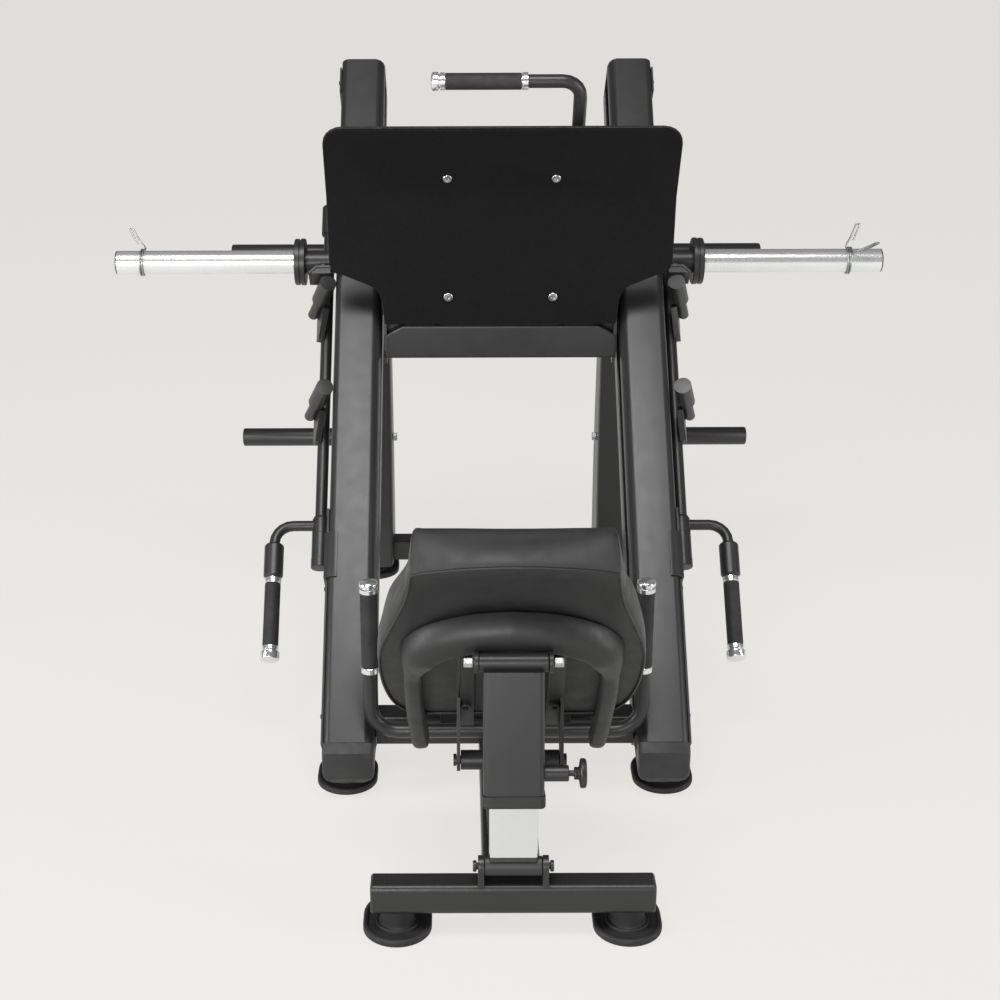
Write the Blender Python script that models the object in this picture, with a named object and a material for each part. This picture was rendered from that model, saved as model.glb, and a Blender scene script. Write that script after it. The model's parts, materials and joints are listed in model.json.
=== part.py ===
"""Plate-loaded 45-degree leg press: an inclined sled on two guide rods, with turning safety catches.

Metres, +Z up, +X to the right of someone standing behind the seat, +Y from the seat towards the high end.
Every object made here is one separate physical piece. "Depth" is measured back from the front of the feet.
"""
import math

import bmesh
import bpy
from mathutils import Matrix, Vector

# Overall set-out
HALF_LENGTH = 0.8504          # half of the front-to-back length, so the origin is the middle of the footprint
RAIL_FOOT = (0.470, 0.106)    # depth and height of the lower end of the column's front face
RAIL_ANGLE = math.radians(45)
LEFT = -1
RIGHT = 1
SIDES = (("left", LEFT), ("right", RIGHT))
GAP = 0.0003                  # clearance between neighbouring pieces

# Columns and the guide rods inside them (across, along the slope, square to the slope)
COLUMN_IN = 0.2505
COLUMN_OUT = 0.3465
COLUMN_DEPTH = 0.150
COLUMN_LOW = 0.0145
COLUMN_HIGH = 1.595
CHANNEL_LOW = 0.050
WALL = 0.004
PAD_STRAIGHT = 0.034
ROD_X = 0.298
ROD_N = -0.085
ROD_R = 0.015
SLOT_IN = (-0.104, -0.036)
SLOT_OUT = (-0.0685, -0.0100)

# Carriage
HORN_S = 1.090
HORN_N = -0.041
HORN_R = 0.025
HORN_STOP = (0.414, 0.4375)
HORN_END = 0.822
CLIP_X = {"left": 0.761, "right": 0.745}
CLIP_TURN = {"left": 112.0, "right": 66.0}
PLATE_FOOT = (1.115, 0.751)
PLATE_LOWER = (math.radians(97), 0.2734)
PLATE_UPPER = (math.radians(118), 0.1715)
PLATE_HALF = 0.3535
MAT_THICK = 0.006
STEEL_BACK = 0.0123

# Safety shafts
SHAFT_X = 0.3735
SHAFT_N = -0.140
SHAFT_R = 0.0125
CATCH_S = (0.767, 1.013)
CATCH_R = 0.018
LEVER_S = 0.516
BARREL_S = 0.497
CATCH_TURN = {"left": 17.0, "right": 12.5}
LEVER_X = 0.468
HANDLE_X = 0.2535
HANDLE_Z = 0.2610

# Backrest and its post
PAD_TOP = (0.092, 0.642)
PAD_TILT = math.radians(30.08)
RECLINE_PIVOT = (0.264, 0.204)
POST_FOOT = (0.048, 0.128)
POST_HEAD = (0.126, 0.464)

CHARCOAL = (0.050, 0.051, 0.053)
BLACK = (0.012, 0.012, 0.013)
RUBBER = (0.016, 0.016, 0.017)
GREY_PAD = (0.040, 0.040, 0.042)
CHROME = (0.78, 0.79, 0.80)
STEEL = (0.42, 0.42, 0.43)


def clear_scene():
    for old in list(bpy.data.objects):
        bpy.data.objects.remove(old, do_unlink=True)


# Places: each turns local coordinates into world coordinates

def world(x, depth, z):
    return Vector((x, depth - HALF_LENGTH, z))


def on_rail(x, s, n):
    c = math.cos(RAIL_ANGLE)
    k = math.sin(RAIL_ANGLE)
    return world(x, RAIL_FOOT[0] + c * s - k * n, RAIL_FOOT[1] + k * s + c * n)


def on_pad(x, down, out):
    c = math.cos(PAD_TILT)
    k = math.sin(PAD_TILT)
    return world(x, PAD_TOP[0] + k * down - c * out, PAD_TOP[1] - c * down - k * out)


def pad_spot(place):
    """Turns a depth and height into distances down and out of the pad's back."""
    dy = place[0] - PAD_TOP[0]
    dz = place[1] - PAD_TOP[1]
    c = math.cos(PAD_TILT)
    k = math.sin(PAD_TILT)
    return (k * dy - c * dz, -c * dy - k * dz)


def on_post(x, up, out):
    dy = POST_HEAD[0] - POST_FOOT[0]
    dz = POST_HEAD[1] - POST_FOOT[1]
    size = math.hypot(dy, dz)
    c = dy / size
    k = dz / size
    return world(x, POST_FOOT[0] + c * up - k * out, POST_FOOT[1] + k * up + c * out)


def plate_point(x, up, out):
    """A point on the footplate: up its bent face from the bottom edge, and out of the face."""
    angle, run = PLATE_LOWER
    y, z = PLATE_FOOT
    bend = 0.0
    if up > run:
        y += run * math.cos(angle)
        z += run * math.sin(angle)
        bend = run
        angle = PLATE_UPPER[0]
    y += (up - bend) * math.cos(angle) - out * math.sin(angle)
    z += (up - bend) * math.sin(angle) + out * math.cos(angle)
    return world(x, y, z)


# Shapes

def finish_mesh(name, bm, colour, rough, metal, smooth=35.0):
    bmesh.ops.remove_doubles(bm, verts=bm.verts, dist=1e-6)
    bmesh.ops.recalc_face_normals(bm, faces=bm.faces)
    mesh = bpy.data.meshes.new(name)
    bm.to_mesh(mesh)
    bm.free()
    obj = bpy.data.objects.new(name, mesh)
    bpy.context.scene.collection.objects.link(obj)
    material = bpy.data.materials.new(name + "_material")
    material.use_nodes = True
    shader = material.node_tree.nodes["Principled BSDF"]
    shader.inputs["Base Color"].default_value = (*colour, 1.0)
    shader.inputs["Roughness"].default_value = rough
    shader.inputs["Metallic"].default_value = metal
    mesh.materials.append(material)
    shade(obj, smooth)
    return obj


def shade(obj, smooth):
    for face in obj.data.polygons:
        face.use_smooth = True
    obj.data.set_sharp_from_angle(angle=math.radians(smooth))


def skin(rings, closed_path=False, caps=True):
    """Joins rings of points into one closed skin."""
    bm = bmesh.new()
    made = []
    for ring in rings:
        made.append([bm.verts.new(p) for p in ring])
    count = len(made)
    last = count if closed_path else count - 1
    for i in range(last):
        a = made[i]
        b = made[(i + 1) % count]
        for j in range(len(a)):
            k = (j + 1) % len(a)
            bm.faces.new((a[j], a[k], b[k], b[j]))
    if caps and not closed_path:
        bm.faces.new(list(reversed(made[0])))
        bm.faces.new(made[-1])
    return bm


def prism(outline, low, high, place):
    return skin([[place(a, b, h) for a, b in outline] for h in (low, high)])


def inset(outline, distance):
    """Moves every edge of an outline inwards by a distance."""
    area = 0.0
    n = len(outline)
    for i in range(n):
        x0, y0 = outline[i]
        x1, y1 = outline[(i + 1) % n]
        area += x0 * y1 - x1 * y0
    turn = 1.0 if area > 0 else -1.0
    result = []
    for i in range(n):
        before = Vector(outline[i - 1])
        here = Vector(outline[i])
        after = Vector(outline[(i + 1) % n])
        d0 = (here - before).normalized()
        d1 = (after - here).normalized()
        n0 = Vector((-d0.y, d0.x)) * turn
        n1 = Vector((-d1.y, d1.x)) * turn
        move = (n0 + n1) / max(0.4, 1.0 + n0.dot(n1))
        point = here + move * distance
        result.append((point.x, point.y))
    return result


def soft_prism(outline, low, high, edge, place, back_edge=None, corners=None):
    """A prism whose two end faces have rounded rims; corners gives the radii of a plain outline's corners."""
    back = edge if back_edge is None else back_edge
    def shape(cut):
        smaller = inset(outline, cut)
        return rounded(smaller, corners, 3) if corners else smaller
    rings = []
    for share in (1.0, 0.45, 0.0):
        rise = 1 - math.sin(share * math.pi / 2)
        rings.append([place(a, b, low + back * rise) for a,
                      b in shape(back * (1 - math.cos(share * math.pi / 2)))])
    for share in (0.0, 0.45, 1.0):
        rise = 1 - math.sin(share * math.pi / 2)
        rings.append([place(a, b, high - edge * rise) for a,
                      b in shape(edge * (1 - math.cos(share * math.pi / 2)))])
    return skin(rings)


def rounded(corners, radius, steps=3):
    """Rounds the corners of an outline."""
    result = []
    n = len(corners)
    for i in range(n):
        before = Vector(corners[i - 1])
        here = Vector(corners[i])
        after = Vector(corners[(i + 1) % n])
        r = radius[i] if isinstance(radius, (list, tuple)) else radius
        if r <= 0:
            result.append((here.x, here.y))
            continue
        u = (before - here).normalized()
        v = (after - here).normalized()
        half = u.angle(v) / 2
        reach = r / math.tan(half)
        centre = here + (u + v).normalized() * (r / math.sin(half))
        start = here + u * reach - centre
        end = here + v * reach - centre
        sweep = start.angle_signed(end) * -1.0
        for k in range(steps + 1):
            turned = Matrix.Rotation(sweep * k / steps, 2) @ start
            result.append((centre.x + turned.x, centre.y + turned.y))
    return result


def rectangle(a0, a1, b0, b1, radius, steps=3):
    return rounded([(a0, b0), (a1, b0), (a1, b1), (a0, b1)], radius, steps)


def block(x0, x1, s0, s1, n0, n1, place):
    return prism([(x0, s0), (x1, s0), (x1, s1), (x0, s1)], n0, n1, place)


def turned(profile, start, direction, segments=16, hollow=False):
    """A turned piece: profile is (radius, distance along the axis)."""
    direction = Vector(direction).normalized()
    side = direction.orthogonal().normalized()
    up = direction.cross(side)
    start = Vector(start)
    bm = bmesh.new()
    rings = []
    for radius, along in profile:
        centre = start + direction * along
        if radius <= 0:
            rings.append([bm.verts.new(centre)])
            continue
        ring = []
        for k in range(segments):
            angle = 2 * math.pi * k / segments
            offset = side * math.cos(angle) + up * math.sin(angle)
            ring.append(bm.verts.new(centre + offset * radius))
        rings.append(ring)
    pairs = list(zip(rings, rings[1:]))
    if hollow:
        pairs.append((rings[-1], rings[0]))
    for a, b in pairs:
        for k in range(segments):
            j = (k + 1) % segments
            if len(a) == 1:
                bm.faces.new((a[0], b[j], b[k]))
            elif len(b) == 1:
                bm.faces.new((a[k], a[j], b[0]))
            else:
                bm.faces.new((a[k], a[j], b[j], b[k]))
    return bm


def rod(start, end, radius, segments=16, rim=0.0):
    start = Vector(start)
    end = Vector(end)
    length = (end - start).length
    if rim > 0:
        profile = [(0, 0), (radius - rim, 0), (radius, rim), (radius, length - rim),
                   (radius - rim, length), (0, length)]
    else:
        profile = [(0, 0), (radius, 0), (radius, length), (0, length)]
    return turned(profile, start, end - start, segments)


def bent(points, radius, steps=5):
    """A centre line with rounded bends."""
    result = [Vector(points[0])]
    for i in range(1, len(points) - 1):
        here = Vector(points[i])
        u = (Vector(points[i - 1]) - here).normalized()
        v = (Vector(points[i + 1]) - here).normalized()
        half = u.angle(v) / 2
        reach = radius / math.tan(half)
        centre = here + (u + v).normalized() * (radius / math.sin(half))
        start = here + u * reach - centre
        end = here + v * reach - centre
        axis = start.cross(end).normalized()
        for k in range(steps + 1):
            turn = Matrix.Rotation(start.angle(end) * k / steps, 3, axis)
            result.append(centre + turn @ start)
    result.append(Vector(points[-1]))
    return result


def tube_along(path, radius, segments=12):
    """A round bar along a centre line."""
    rings = []
    direction = (path[1] - path[0]).normalized()
    side = direction.orthogonal().normalized()
    for i, point in enumerate(path):
        before = path[max(i - 1, 0)]
        after = path[min(i + 1, len(path) - 1)]
        heading = (after - before).normalized()
        side = (side - heading * side.dot(heading)).normalized()
        up = heading.cross(side)
        ring = []
        for k in range(segments):
            angle = 2 * math.pi * k / segments
            ring.append(point + (side * math.cos(angle) + up * math.sin(angle)) * radius)
        rings.append(ring)
    return skin(rings)


def smooth_line(points, steps):
    """A smooth curve through 2-D points."""
    result = []
    n = len(points)
    for i in range(n - 1):
        p0 = Vector(points[max(i - 1, 0)])
        p1 = Vector(points[i])
        p2 = Vector(points[i + 1])
        p3 = Vector(points[min(i + 2, n - 1)])
        for k in range(steps):
            t = k / steps
            a = 2 * p1 + (p2 - p0) * t
            b = (2 * p0 - 5 * p1 + 4 * p2 - p3) * t * t
            c = (3 * p1 - p0 - 3 * p2 + p3) * t * t * t
            point = (a + b + c) * 0.5
            result.append((point.x, point.y))
    result.append(tuple(points[-1]))
    return result


def temporary(bm):
    bmesh.ops.remove_doubles(bm, verts=bm.verts, dist=1e-6)
    bmesh.ops.recalc_face_normals(bm, faces=bm.faces)
    mesh = bpy.data.meshes.new("working_shape")
    bm.to_mesh(mesh)
    bm.free()
    obj = bpy.data.objects.new("working_shape", mesh)
    bpy.context.scene.collection.objects.link(obj)
    return obj


def joined(name, solids, holes, colour, rough, metal, smooth=35.0):
    """Welds solids into one body and then cuts the holes out of it."""
    body = temporary(solids[0])
    steps = [(bm, "UNION") for bm in solids[1:]] + [(bm, "DIFFERENCE") for bm in holes]
    for bm, operation in steps:
        other = temporary(bm)
        modifier = body.modifiers.new("weld", "BOOLEAN")
        modifier.operation = operation
        modifier.solver = "EXACT"
        modifier.object = other
        bpy.context.view_layer.update()
        graph = bpy.context.evaluated_depsgraph_get()
        result = bpy.data.meshes.new_from_object(body.evaluated_get(graph))
        body.modifiers.clear()
        body.data = result
        bpy.data.objects.remove(other, do_unlink=True)
    final = bmesh.new()
    final.from_mesh(body.data)
    bmesh.ops.dissolve_degenerate(final, edges=final.edges, dist=1e-6)
    bpy.data.objects.remove(body, do_unlink=True)
    return finish_mesh(name, final, colour, rough, metal, smooth)


def hang_on(obj, point):
    """Puts an object's origin on its joint."""
    obj.data.transform(Matrix.Translation(-point))
    obj.location = point


def mirrored(place, side):
    def inner(x, a, b):
        return place(side * x, a, b)
    return inner


# Columns

def column_outline():
    """The full column section, across and square to the slope."""
    back = -COLUMN_DEPTH
    return [
        (0.2505, -0.036), (0.2505, -0.026), (0.2532, -0.0145), (0.2592, -0.0055), (0.2695, 0.0),
        (0.3320, 0.0), (0.3395, -0.0025), (0.3445, -0.0070), (0.3465, -0.0140),
        (0.3465, back + 0.006), (0.3405, back), (0.2565, back), (0.2505, back + 0.006),
    ]


def rail_shroud(name, side):
    """Folded front cover of a column, closed by the end plate at its top."""
    place = mirrored(on_rail, side)
    full = column_outline()
    outer = full[:9]
    inner = [(0.3425, -0.0140), (0.3365, -0.0065), (0.3310, -0.0040), (0.2705, -0.0040), (0.2620, -0.0085),
             (0.2570, -0.0165), (0.2545, -0.0270), (0.2545, -0.036)]
    plate = COLUMN_HIGH - 0.009
    bm = bmesh.new()
    low = [bm.verts.new(place(a, COLUMN_LOW, b)) for a, b in outer + inner]
    high = [bm.verts.new(place(a, plate, b)) for a, b in outer + inner]
    back = [bm.verts.new(place(a, plate, b)) for a, b in full[9:]]
    for j in range(len(low)):
        k = (j + 1) % len(low)
        bm.faces.new((low[j], low[k], high[k], high[j]))
    bm.faces.new(low)
    bm.faces.new([high[8]] + back + [high[0]] + list(reversed(high[9:])))
    ring = high[:9] + back
    for height, cut in ((COLUMN_HIGH - 0.004, 0.0), (COLUMN_HIGH - 0.0012, 0.0013), (COLUMN_HIGH, 0.0045)):
        upper = [bm.verts.new(place(a, height, b)) for a, b in inset(full, cut)]
        for j in range(len(ring)):
            k = (j + 1) % len(ring)
            bm.faces.new((ring[j], ring[k], upper[k], upper[j]))
        ring = upper
    bm.faces.new(ring)
    finish_mesh(name, bm, CHARCOAL, 0.45, 0.3)


def rail_channel(name, side):
    """Load-bearing back channel of a column, with the two blocks that hold the guide rod."""
    place = mirrored(on_rail, side)
    back = -COLUMN_DEPTH
    section = [(0.3465, -0.0695), (0.3465, back), (0.2505, back), (0.2505, SLOT_IN[0]), (0.2545, SLOT_IN[0]),
               (0.2545, back + WALL), (0.3425, back + WALL), (0.3425, -0.0695)]
    top = COLUMN_HIGH - 0.0095
    body = prism(section, CHANNEL_LOW, top, lambda a, b, h: place(a, h, b))
    solids = [body]
    holes = []
    for low, high in ((0.052, 0.082), (1.552, 1.582)):
        solids.append(block(0.272, 0.324, low, high, back + 0.002, -0.062, place))
    start = place(ROD_X, 0.040, ROD_N)
    end = place(ROD_X, 1.590, ROD_N)
    holes.append(rod(start, end, ROD_R + GAP, 16))
    joined(name, solids, holes, CHARCOAL, 0.5, 0.3)


def guide_rod(name, side):
    """Hardened and plated rod that the sled's bearings run on."""
    start = on_rail(side * ROD_X, 0.0515, ROD_N)
    end = on_rail(side * ROD_X, 1.584, ROD_N)
    finish_mesh(name, rod(start, end, ROD_R, 16, 0.0015), CHROME, 0.12, 1.0)


def side_panel(name, side):
    """Black outer cover with its slot edge, the button screws and the upper shaft bearing."""
    place = mirrored(on_rail, side)
    low = 0.052
    high = 1.577
    outline = [(low, -0.148), (high, -0.148), (high, SLOT_OUT[1]), (1.515, SLOT_OUT[1]), (1.515, SLOT_OUT[0]),
               (0.500, SLOT_OUT[0]), (0.500, SLOT_OUT[1]), (0.0155, SLOT_OUT[1]), (0.0155, -0.0690),
               (low, -0.0690)]
    solids = [prism(outline, COLUMN_OUT + GAP, COLUMN_OUT + 0.0043, lambda a, b, h: place(h, a, b))]
    outward = Vector((side, 0, 0))
    for s, n in ((0.075, -0.030), (0.335, -0.030), (1.549, -0.030), (0.075, -0.130), (0.80, -0.130),
                 (1.549, -0.130)):
        head = [(0, 0), (0.005, 0), (0.005, 0.0035), (0.0035, 0.005), (0, 0.005)]
        solids.append(turned(head, place(COLUMN_OUT + 0.0025, s, n), outward, 8))
    bore = [(SHAFT_R + GAP, 0), (CATCH_R - 0.001, 0), (CATCH_R, 0.001), (CATCH_R, 0.070),
            (CATCH_R - 0.001, 0.071),
            (SHAFT_R + GAP, 0.071)]
    along = on_rail(0, 1, 0) - on_rail(0, 0, 0)
    solids.append(block(COLUMN_OUT + 0.002, 0.3590, 1.232, 1.277, -0.1475, -0.132, place))
    solids.append(turned(bore, place(SHAFT_X, 1.219, SHAFT_N), along, 16, hollow=True))
    joined(name, solids, [], BLACK, 0.5, 0.0)


def stadium(radius, straight, steps=7):
    """Outline of a pad with straight sides and round ends, front end centred on the origin."""
    outline = []
    for k in range(steps + 1):
        angle = math.pi + math.pi * k / steps
        outline.append((radius * math.cos(angle), radius * math.sin(angle)))
    for k in range(steps + 1):
        angle = math.pi * k / steps
        outline.append((radius * math.cos(angle), straight + radius * math.sin(angle)))
    return outline


def rubber_pad(x, depth, top):
    """Oblong rubber foot with a soft rim and a round cup that takes the tube above it."""
    rings = []
    for radius, z in ((0.0580, 0.0), (0.0580, 0.0085), (0.0550, 0.0120), (0.0510, 0.0120), (0.0490, 0.0100)):
        rings.append([world(x + a, depth + b, z) for a, b in stadium(radius, PAD_STRAIGHT)])
    cup = [(0, 0.0050), (0.0370, 0.0050), (0.0370, 0.0125), (0.0345, 0.0135), (0.0315, 0.0125),
           (0.0290, 0.0180), (0.0290, top),
           (0, top)]
    return [skin(rings), turned(cup, world(x, depth + PAD_STRAIGHT * 0.2, 0), (0, 0, 1), 18)]


def column_foot(name, side):
    """Moulded boot that closes a column's lower end, with its rubber foot."""
    def point(s, n):
        spot = on_rail(0, s, n)
        return (spot.y + HALF_LENGTH, spot.z)
    corners = [point(0.0142, 0.0006), point(-0.007, 0.0006), (0.4646, 0.0480), (0.4720, 0.0352),
               point(0.0462, -0.1498),
               point(0.0497, -0.1498), point(0.0497, -0.0702), point(0.0142, -0.0702)]
    radii = (0.0015, 0.006, 0.009, 0.004, 0.001, 0.001, 0.001, 0.001)
    place = mirrored(world, side)
    boot = soft_prism(corners, 0.2495, 0.3475, 0.010, lambda a, b, h: place(h, a, b), corners=radii)
    parts = [boot] + rubber_pad(side * 0.305, 0.5425, 0.0420)
    joined(name, parts, [], RUBBER, 0.6, 0.0)


def floor_foot(name, x, depth, top):
    """Rubber foot under a floor tube."""
    joined(name, rubber_pad(x, depth, top), [], RUBBER, 0.6, 0.0)


def rear_upright(name, side):
    """Curved rear leg under a column, drilled for the two storage pegs."""
    place = mirrored(world, side)
    front = smooth_line([(1.4601, 0.8831), (1.502, 0.70), (1.530, 0.45), (1.518, 0.20), (1.490, 0.0341)], 4)
    rear = smooth_line([(1.655, 0.0341), (1.662, 0.30), (1.636, 0.58), (1.612, 0.84), (1.6015, 1.0245)], 4)
    outline = front + rear
    body = soft_prism(outline, 0.2466, 0.3405, 0.008, lambda a, b, h: place(h, a, b))
    holes = []
    for depth, z in PEGS:
        holes.append(rod(place(0.20, depth, z), place(0.40, depth, z), 0.0063, 12))
    joined(name, [body], holes, CHARCOAL, 0.45, 0.3)


PEGS = ((1.585, 0.338), (1.545, 0.800))


def storage_peg(name, side, depth, z):
    """Peg for spare plates, drawn up by a bolt through the upright."""
    profile = [(0, 0), (0.010, 0), (0.010, 0.0100), (0.0060, 0.0102), (0.0060, 0.1050), (0.0215, 0.1052),
               (0.0215, 0.3695),
               (0.0190, 0.3720), (0, 0.3720)]
    start = world(side * 0.2360, depth, z)
    finish_mesh(name, turned(profile, start, (side, 0, 0), 16), CHARCOAL, 0.45, 0.3)


# Base

def base_frame():
    """Floor spine, two cross tubes, the recline bearing and the seat support, welded together."""
    def across(a, b, h):
        return world(h, a, b)
    def lengthways(a, b, h):
        return world(a, h, b)
    low_tube = rectangle(0.570, 0.630, 0.060, 0.120, 0.008)
    rear_tube = rectangle(1.530, 1.590, 0.034, 0.084, 0.008)
    spine = rectangle(-0.050, 0.050, 0.014, 0.073, 0.010)
    gusset = [(0.232, 0.068), (0.296, 0.068), (0.276, 0.196), (0.252, 0.196)]
    seat_post = [(0.575, 0.114), (0.618, 0.114), (0.618, 0.313), (0.575, 0.302)]
    solids = [
        prism(low_tube, -0.2490, 0.2490, across),
        prism(spine, 0.0803, 1.550, lengthways),
        prism(rear_tube, -0.2462, 0.2462, across),
        prism(gusset, -0.040, 0.040, across),
        rod(world(-0.0862, *RECLINE_PIVOT), world(0.0862, *RECLINE_PIVOT), 0.0175, 16, 0.001),
        prism(seat_post, -0.035, 0.035, across),
        prism([seat_point(0.03, -0.0705), seat_point(0.24, -0.0705), seat_point(0.24, -0.0785),
               seat_point(0.03, -0.0785)],
              -0.150, 0.150, across),
    ]
    holes = [rod(world(-0.12, *RECLINE_PIVOT), world(0.12, *RECLINE_PIVOT), 0.0083, 12)]
    joined("base_frame", solids, holes, CHARCOAL, 0.45, 0.3)


def seat_point(along, up):
    angle = math.radians(15)
    return (0.420 + along * math.cos(angle) - up * math.sin(angle),
            0.335 + along * math.sin(angle) + up * math.cos(angle))


def seat_cushion():
    """Seat pad in front of the backrest, on its board."""
    def place(a, b, h):
        depth, z = seat_point(b, h)
        return world(a, depth, z)
    outline = rectangle(-0.190, 0.190, 0.0, 0.255, 0.045, 5)
    finish_mesh("seat_cushion", soft_prism(outline, -0.070, 0.0, 0.020, place, 0.004), GREY_PAD, 0.6, 0.0, 50)


def upper_cross_tube():
    """Tube that ties the two rear legs together under the columns."""
    section = rectangle(1.530, 1.580, 0.850, 0.900, 0.008)
    bm = prism(section, -0.2462, 0.2462, lambda a, b, h: world(h, a, b))
    finish_mesh("upper_cross_tube", bm, CHARCOAL, 0.45, 0.3)


def front_foot_bar():
    """Front floor bar with the two ears and the pin that hold the post's foot."""
    def across(a, b, h):
        return world(h, a, b)
    section = rectangle(0.030, 0.080, 0.043, 0.098, 0.010, 4)
    bar = skin([[across(a, b, h) for a, b in inset(section, cut)]
                for h, cut in ((-0.237, 0.0035), (-0.2335, 0.0), (0.2335, 0.0), (0.237, 0.0035))])
    solids = [bar]
    y, z = POST_FOOT
    for x in (-0.0585, 0.0485):
        ear = [(y - 0.018, 0.094), (y + 0.018, 0.094)]
        for k in range(9):
            angle = math.pi * k / 8
            ear.append((y + 0.018 * math.cos(angle), z + 0.018 * math.sin(angle)))
        solids.append(prism(ear, x, x + 0.010, across))
    pin = [(0, 0), (0.0085, 0), (0.0095, 0.001), (0.0095, 0.006), (0.0060, 0.006), (0.0060, 0.128),
           (0.0095, 0.128),
           (0.0095, 0.134), (0, 0.134)]
    solids.append(turned(pin, world(-0.067, y, z), (1, 0, 0), 16))
    joined("front_foot_bar", solids, [], CHARCOAL, 0.45, 0.3)


def handlebar():
    """Bent side-handle bar with two tabs to the low cross tube."""
    depth = 0.490
    path = bent([world(-HANDLE_X, depth, HANDLE_Z), world(-HANDLE_X, depth, 0.137),
                 world(HANDLE_X, depth, 0.137),
                 world(HANDLE_X, depth, HANDLE_Z)], 0.050, 5)
    solids = [tube_along(path, 0.014, 12)]
    for side in (LEFT, RIGHT):
        solids.append(block(side * 0.085, side * 0.125, depth, 0.5697, 0.127, 0.133, world))
    joined("seat_handlebar", solids, [], CHARCOAL, 0.45, 0.3)


def handle_chrome(name, start, direction, grip, cap=0.0180, length=0.010):
    """Chrome end fitting: lower ring, core inside the grip, upper ring and domed cap in one piece."""
    g = grip
    end = 0.0265 + g + length
    profile = [(0, 0), (0.0168, 0), (0.0168, 0.0120), (0.0118, 0.0120), (0.0118, 0.0128 + g),
               (0.0168, 0.0128 + g),
               (0.0168, 0.0225 + g), (0.0138, 0.0228 + g), (0.0138, 0.0248 + g), (cap, 0.0252 + g),
               (cap, end),
               (cap - 0.0020, end + 0.0022), (0, end + 0.0034)]
    return finish_mesh(name, turned(profile, start, direction, 18), CHROME, 0.14, 1.0)


def handle_grip(name, start, direction, grip):
    """Rubber sleeve between the two chrome rings."""
    profile = [(0.0121, 0.0003), (0.0161, 0.0003), (0.0161, grip - 0.0003), (0.0121, grip - 0.0003)]
    at = Vector(start) + Vector(direction).normalized() * 0.0124
    return finish_mesh(name, turned(profile, at, direction, 18, hollow=True), RUBBER, 0.8, 0.0)


# Safety shafts

def shaft_bracket(name, side):
    """Wrap-round plate and blind bearing for the lower end of a safety shaft."""
    place = mirrored(on_rail, side)
    section = [(0.3280, 0.0008), (0.3325, 0.0008), (0.3405, -0.0017), (0.3465, -0.0068), (0.3515, -0.0095),
               (0.3515, -0.149),
               (0.3545, -0.149), (0.3545, -0.0080), (0.3480, -0.0035), (0.3415, 0.0014), (0.3330, 0.0038),
               (0.3280, 0.0038)]
    solids = [prism(section, 0.350, 0.446, lambda a, b, h: place(a, h, b))]
    solids.append(block(0.3530, 0.3590, 0.430, 0.482, -0.1485, -0.131, place))
    along = on_rail(0, 1, 0) - on_rail(0, 0, 0)
    low = 0.4215
    high = BARREL_S - 0.0005 - low
    socket = [(0, 0), (0.0170, 0), (0.0185, 0.0015), (0.0185, 0.0200), (0.0180, 0.0205), (0.0180, high),
              (SHAFT_R + GAP, high),
              (SHAFT_R + GAP, 0.0230), (0, 0.0230)]
    solids.append(turned(socket, place(SHAFT_X, low, SHAFT_N), along, 18))
    joined(name, solids, [], CHARCOAL, 0.45, 0.3)


def safety_shaft(name, side, turn):
    """Turning shaft with two welded catches, its collar, the lever arm and the grip socket."""
    place = mirrored(on_rail, side)
    along = on_rail(0, 1, 0) - on_rail(0, 0, 0)
    solids = [rod(place(SHAFT_X, 0.4460, SHAFT_N), place(SHAFT_X, 1.2850, SHAFT_N), SHAFT_R, 16)]
    collar = [(0, 0), (0.0180, 0), (0.0180, 0.031), (0.0145, 0.038), (0, 0.038)]
    solids.append(turned(collar, place(SHAFT_X, BARREL_S, SHAFT_N), along, 18))
    angle = math.radians(turn)
    c = math.cos(angle)
    k = math.sin(angle)
    def swung(e, s, h):
        return place(SHAFT_X + e * c - h * k, s, SHAFT_N + e * k + h * c)
    post = SHAFT_R + CATCH_R
    for s in CATCH_S:
        stub = [(0, 0), (0.0115, 0), (0.0115, 0.066), (0.0165, 0.067), (CATCH_R, 0.0690),
                (CATCH_R, 0.1440), (0, 0.1450)]
        start = swung(post, s, -0.005)
        solids.append(turned(stub, start, swung(post, s, 1) - swung(post, s, 0), 18))
        rib = [(s - 0.003, -0.004), (s - 0.003, 0.052), (s - 0.014, 0.056), (s - 0.066, 0.016),
               (s - 0.066, -0.004)]
        solids.append(prism(rib, 0.0088, 0.0215, lambda a, b, h: swung(h, a, b)))
    arm = bent([place(SHAFT_X, LEVER_S, SHAFT_N), place(LEVER_X, LEVER_S, SHAFT_N),
                place(LEVER_X, 0.455, SHAFT_N)], 0.038, 5)
    solids.append(tube_along(arm, 0.011, 12))
    socket = [(0, 0), (0.0165, 0), (0.0200, 0.004), (0.0200, 0.069), (0.0165, 0.074), (0, 0.074)]
    solids.append(turned(socket, place(LEVER_X, 0.4740, SHAFT_N), -along, 16))
    obj = joined(name, solids, [], CHARCOAL, 0.45, 0.3)
    hang_on(obj, place(SHAFT_X, BARREL_S, SHAFT_N))


def fold_point(level):
    """The corner of the footplate's fold at a distance out of its face."""
    run = PLATE_LOWER[1]
    base = plate_point(0, run, 0)
    lower = plate_point(0, run, 1) - base
    upper = plate_point(0, run + 1e-9, 1) - plate_point(0, run + 1e-9, 0)
    half = lower.angle(upper) / 2
    return base + (lower + upper).normalized() * (level / math.cos(half))


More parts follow.
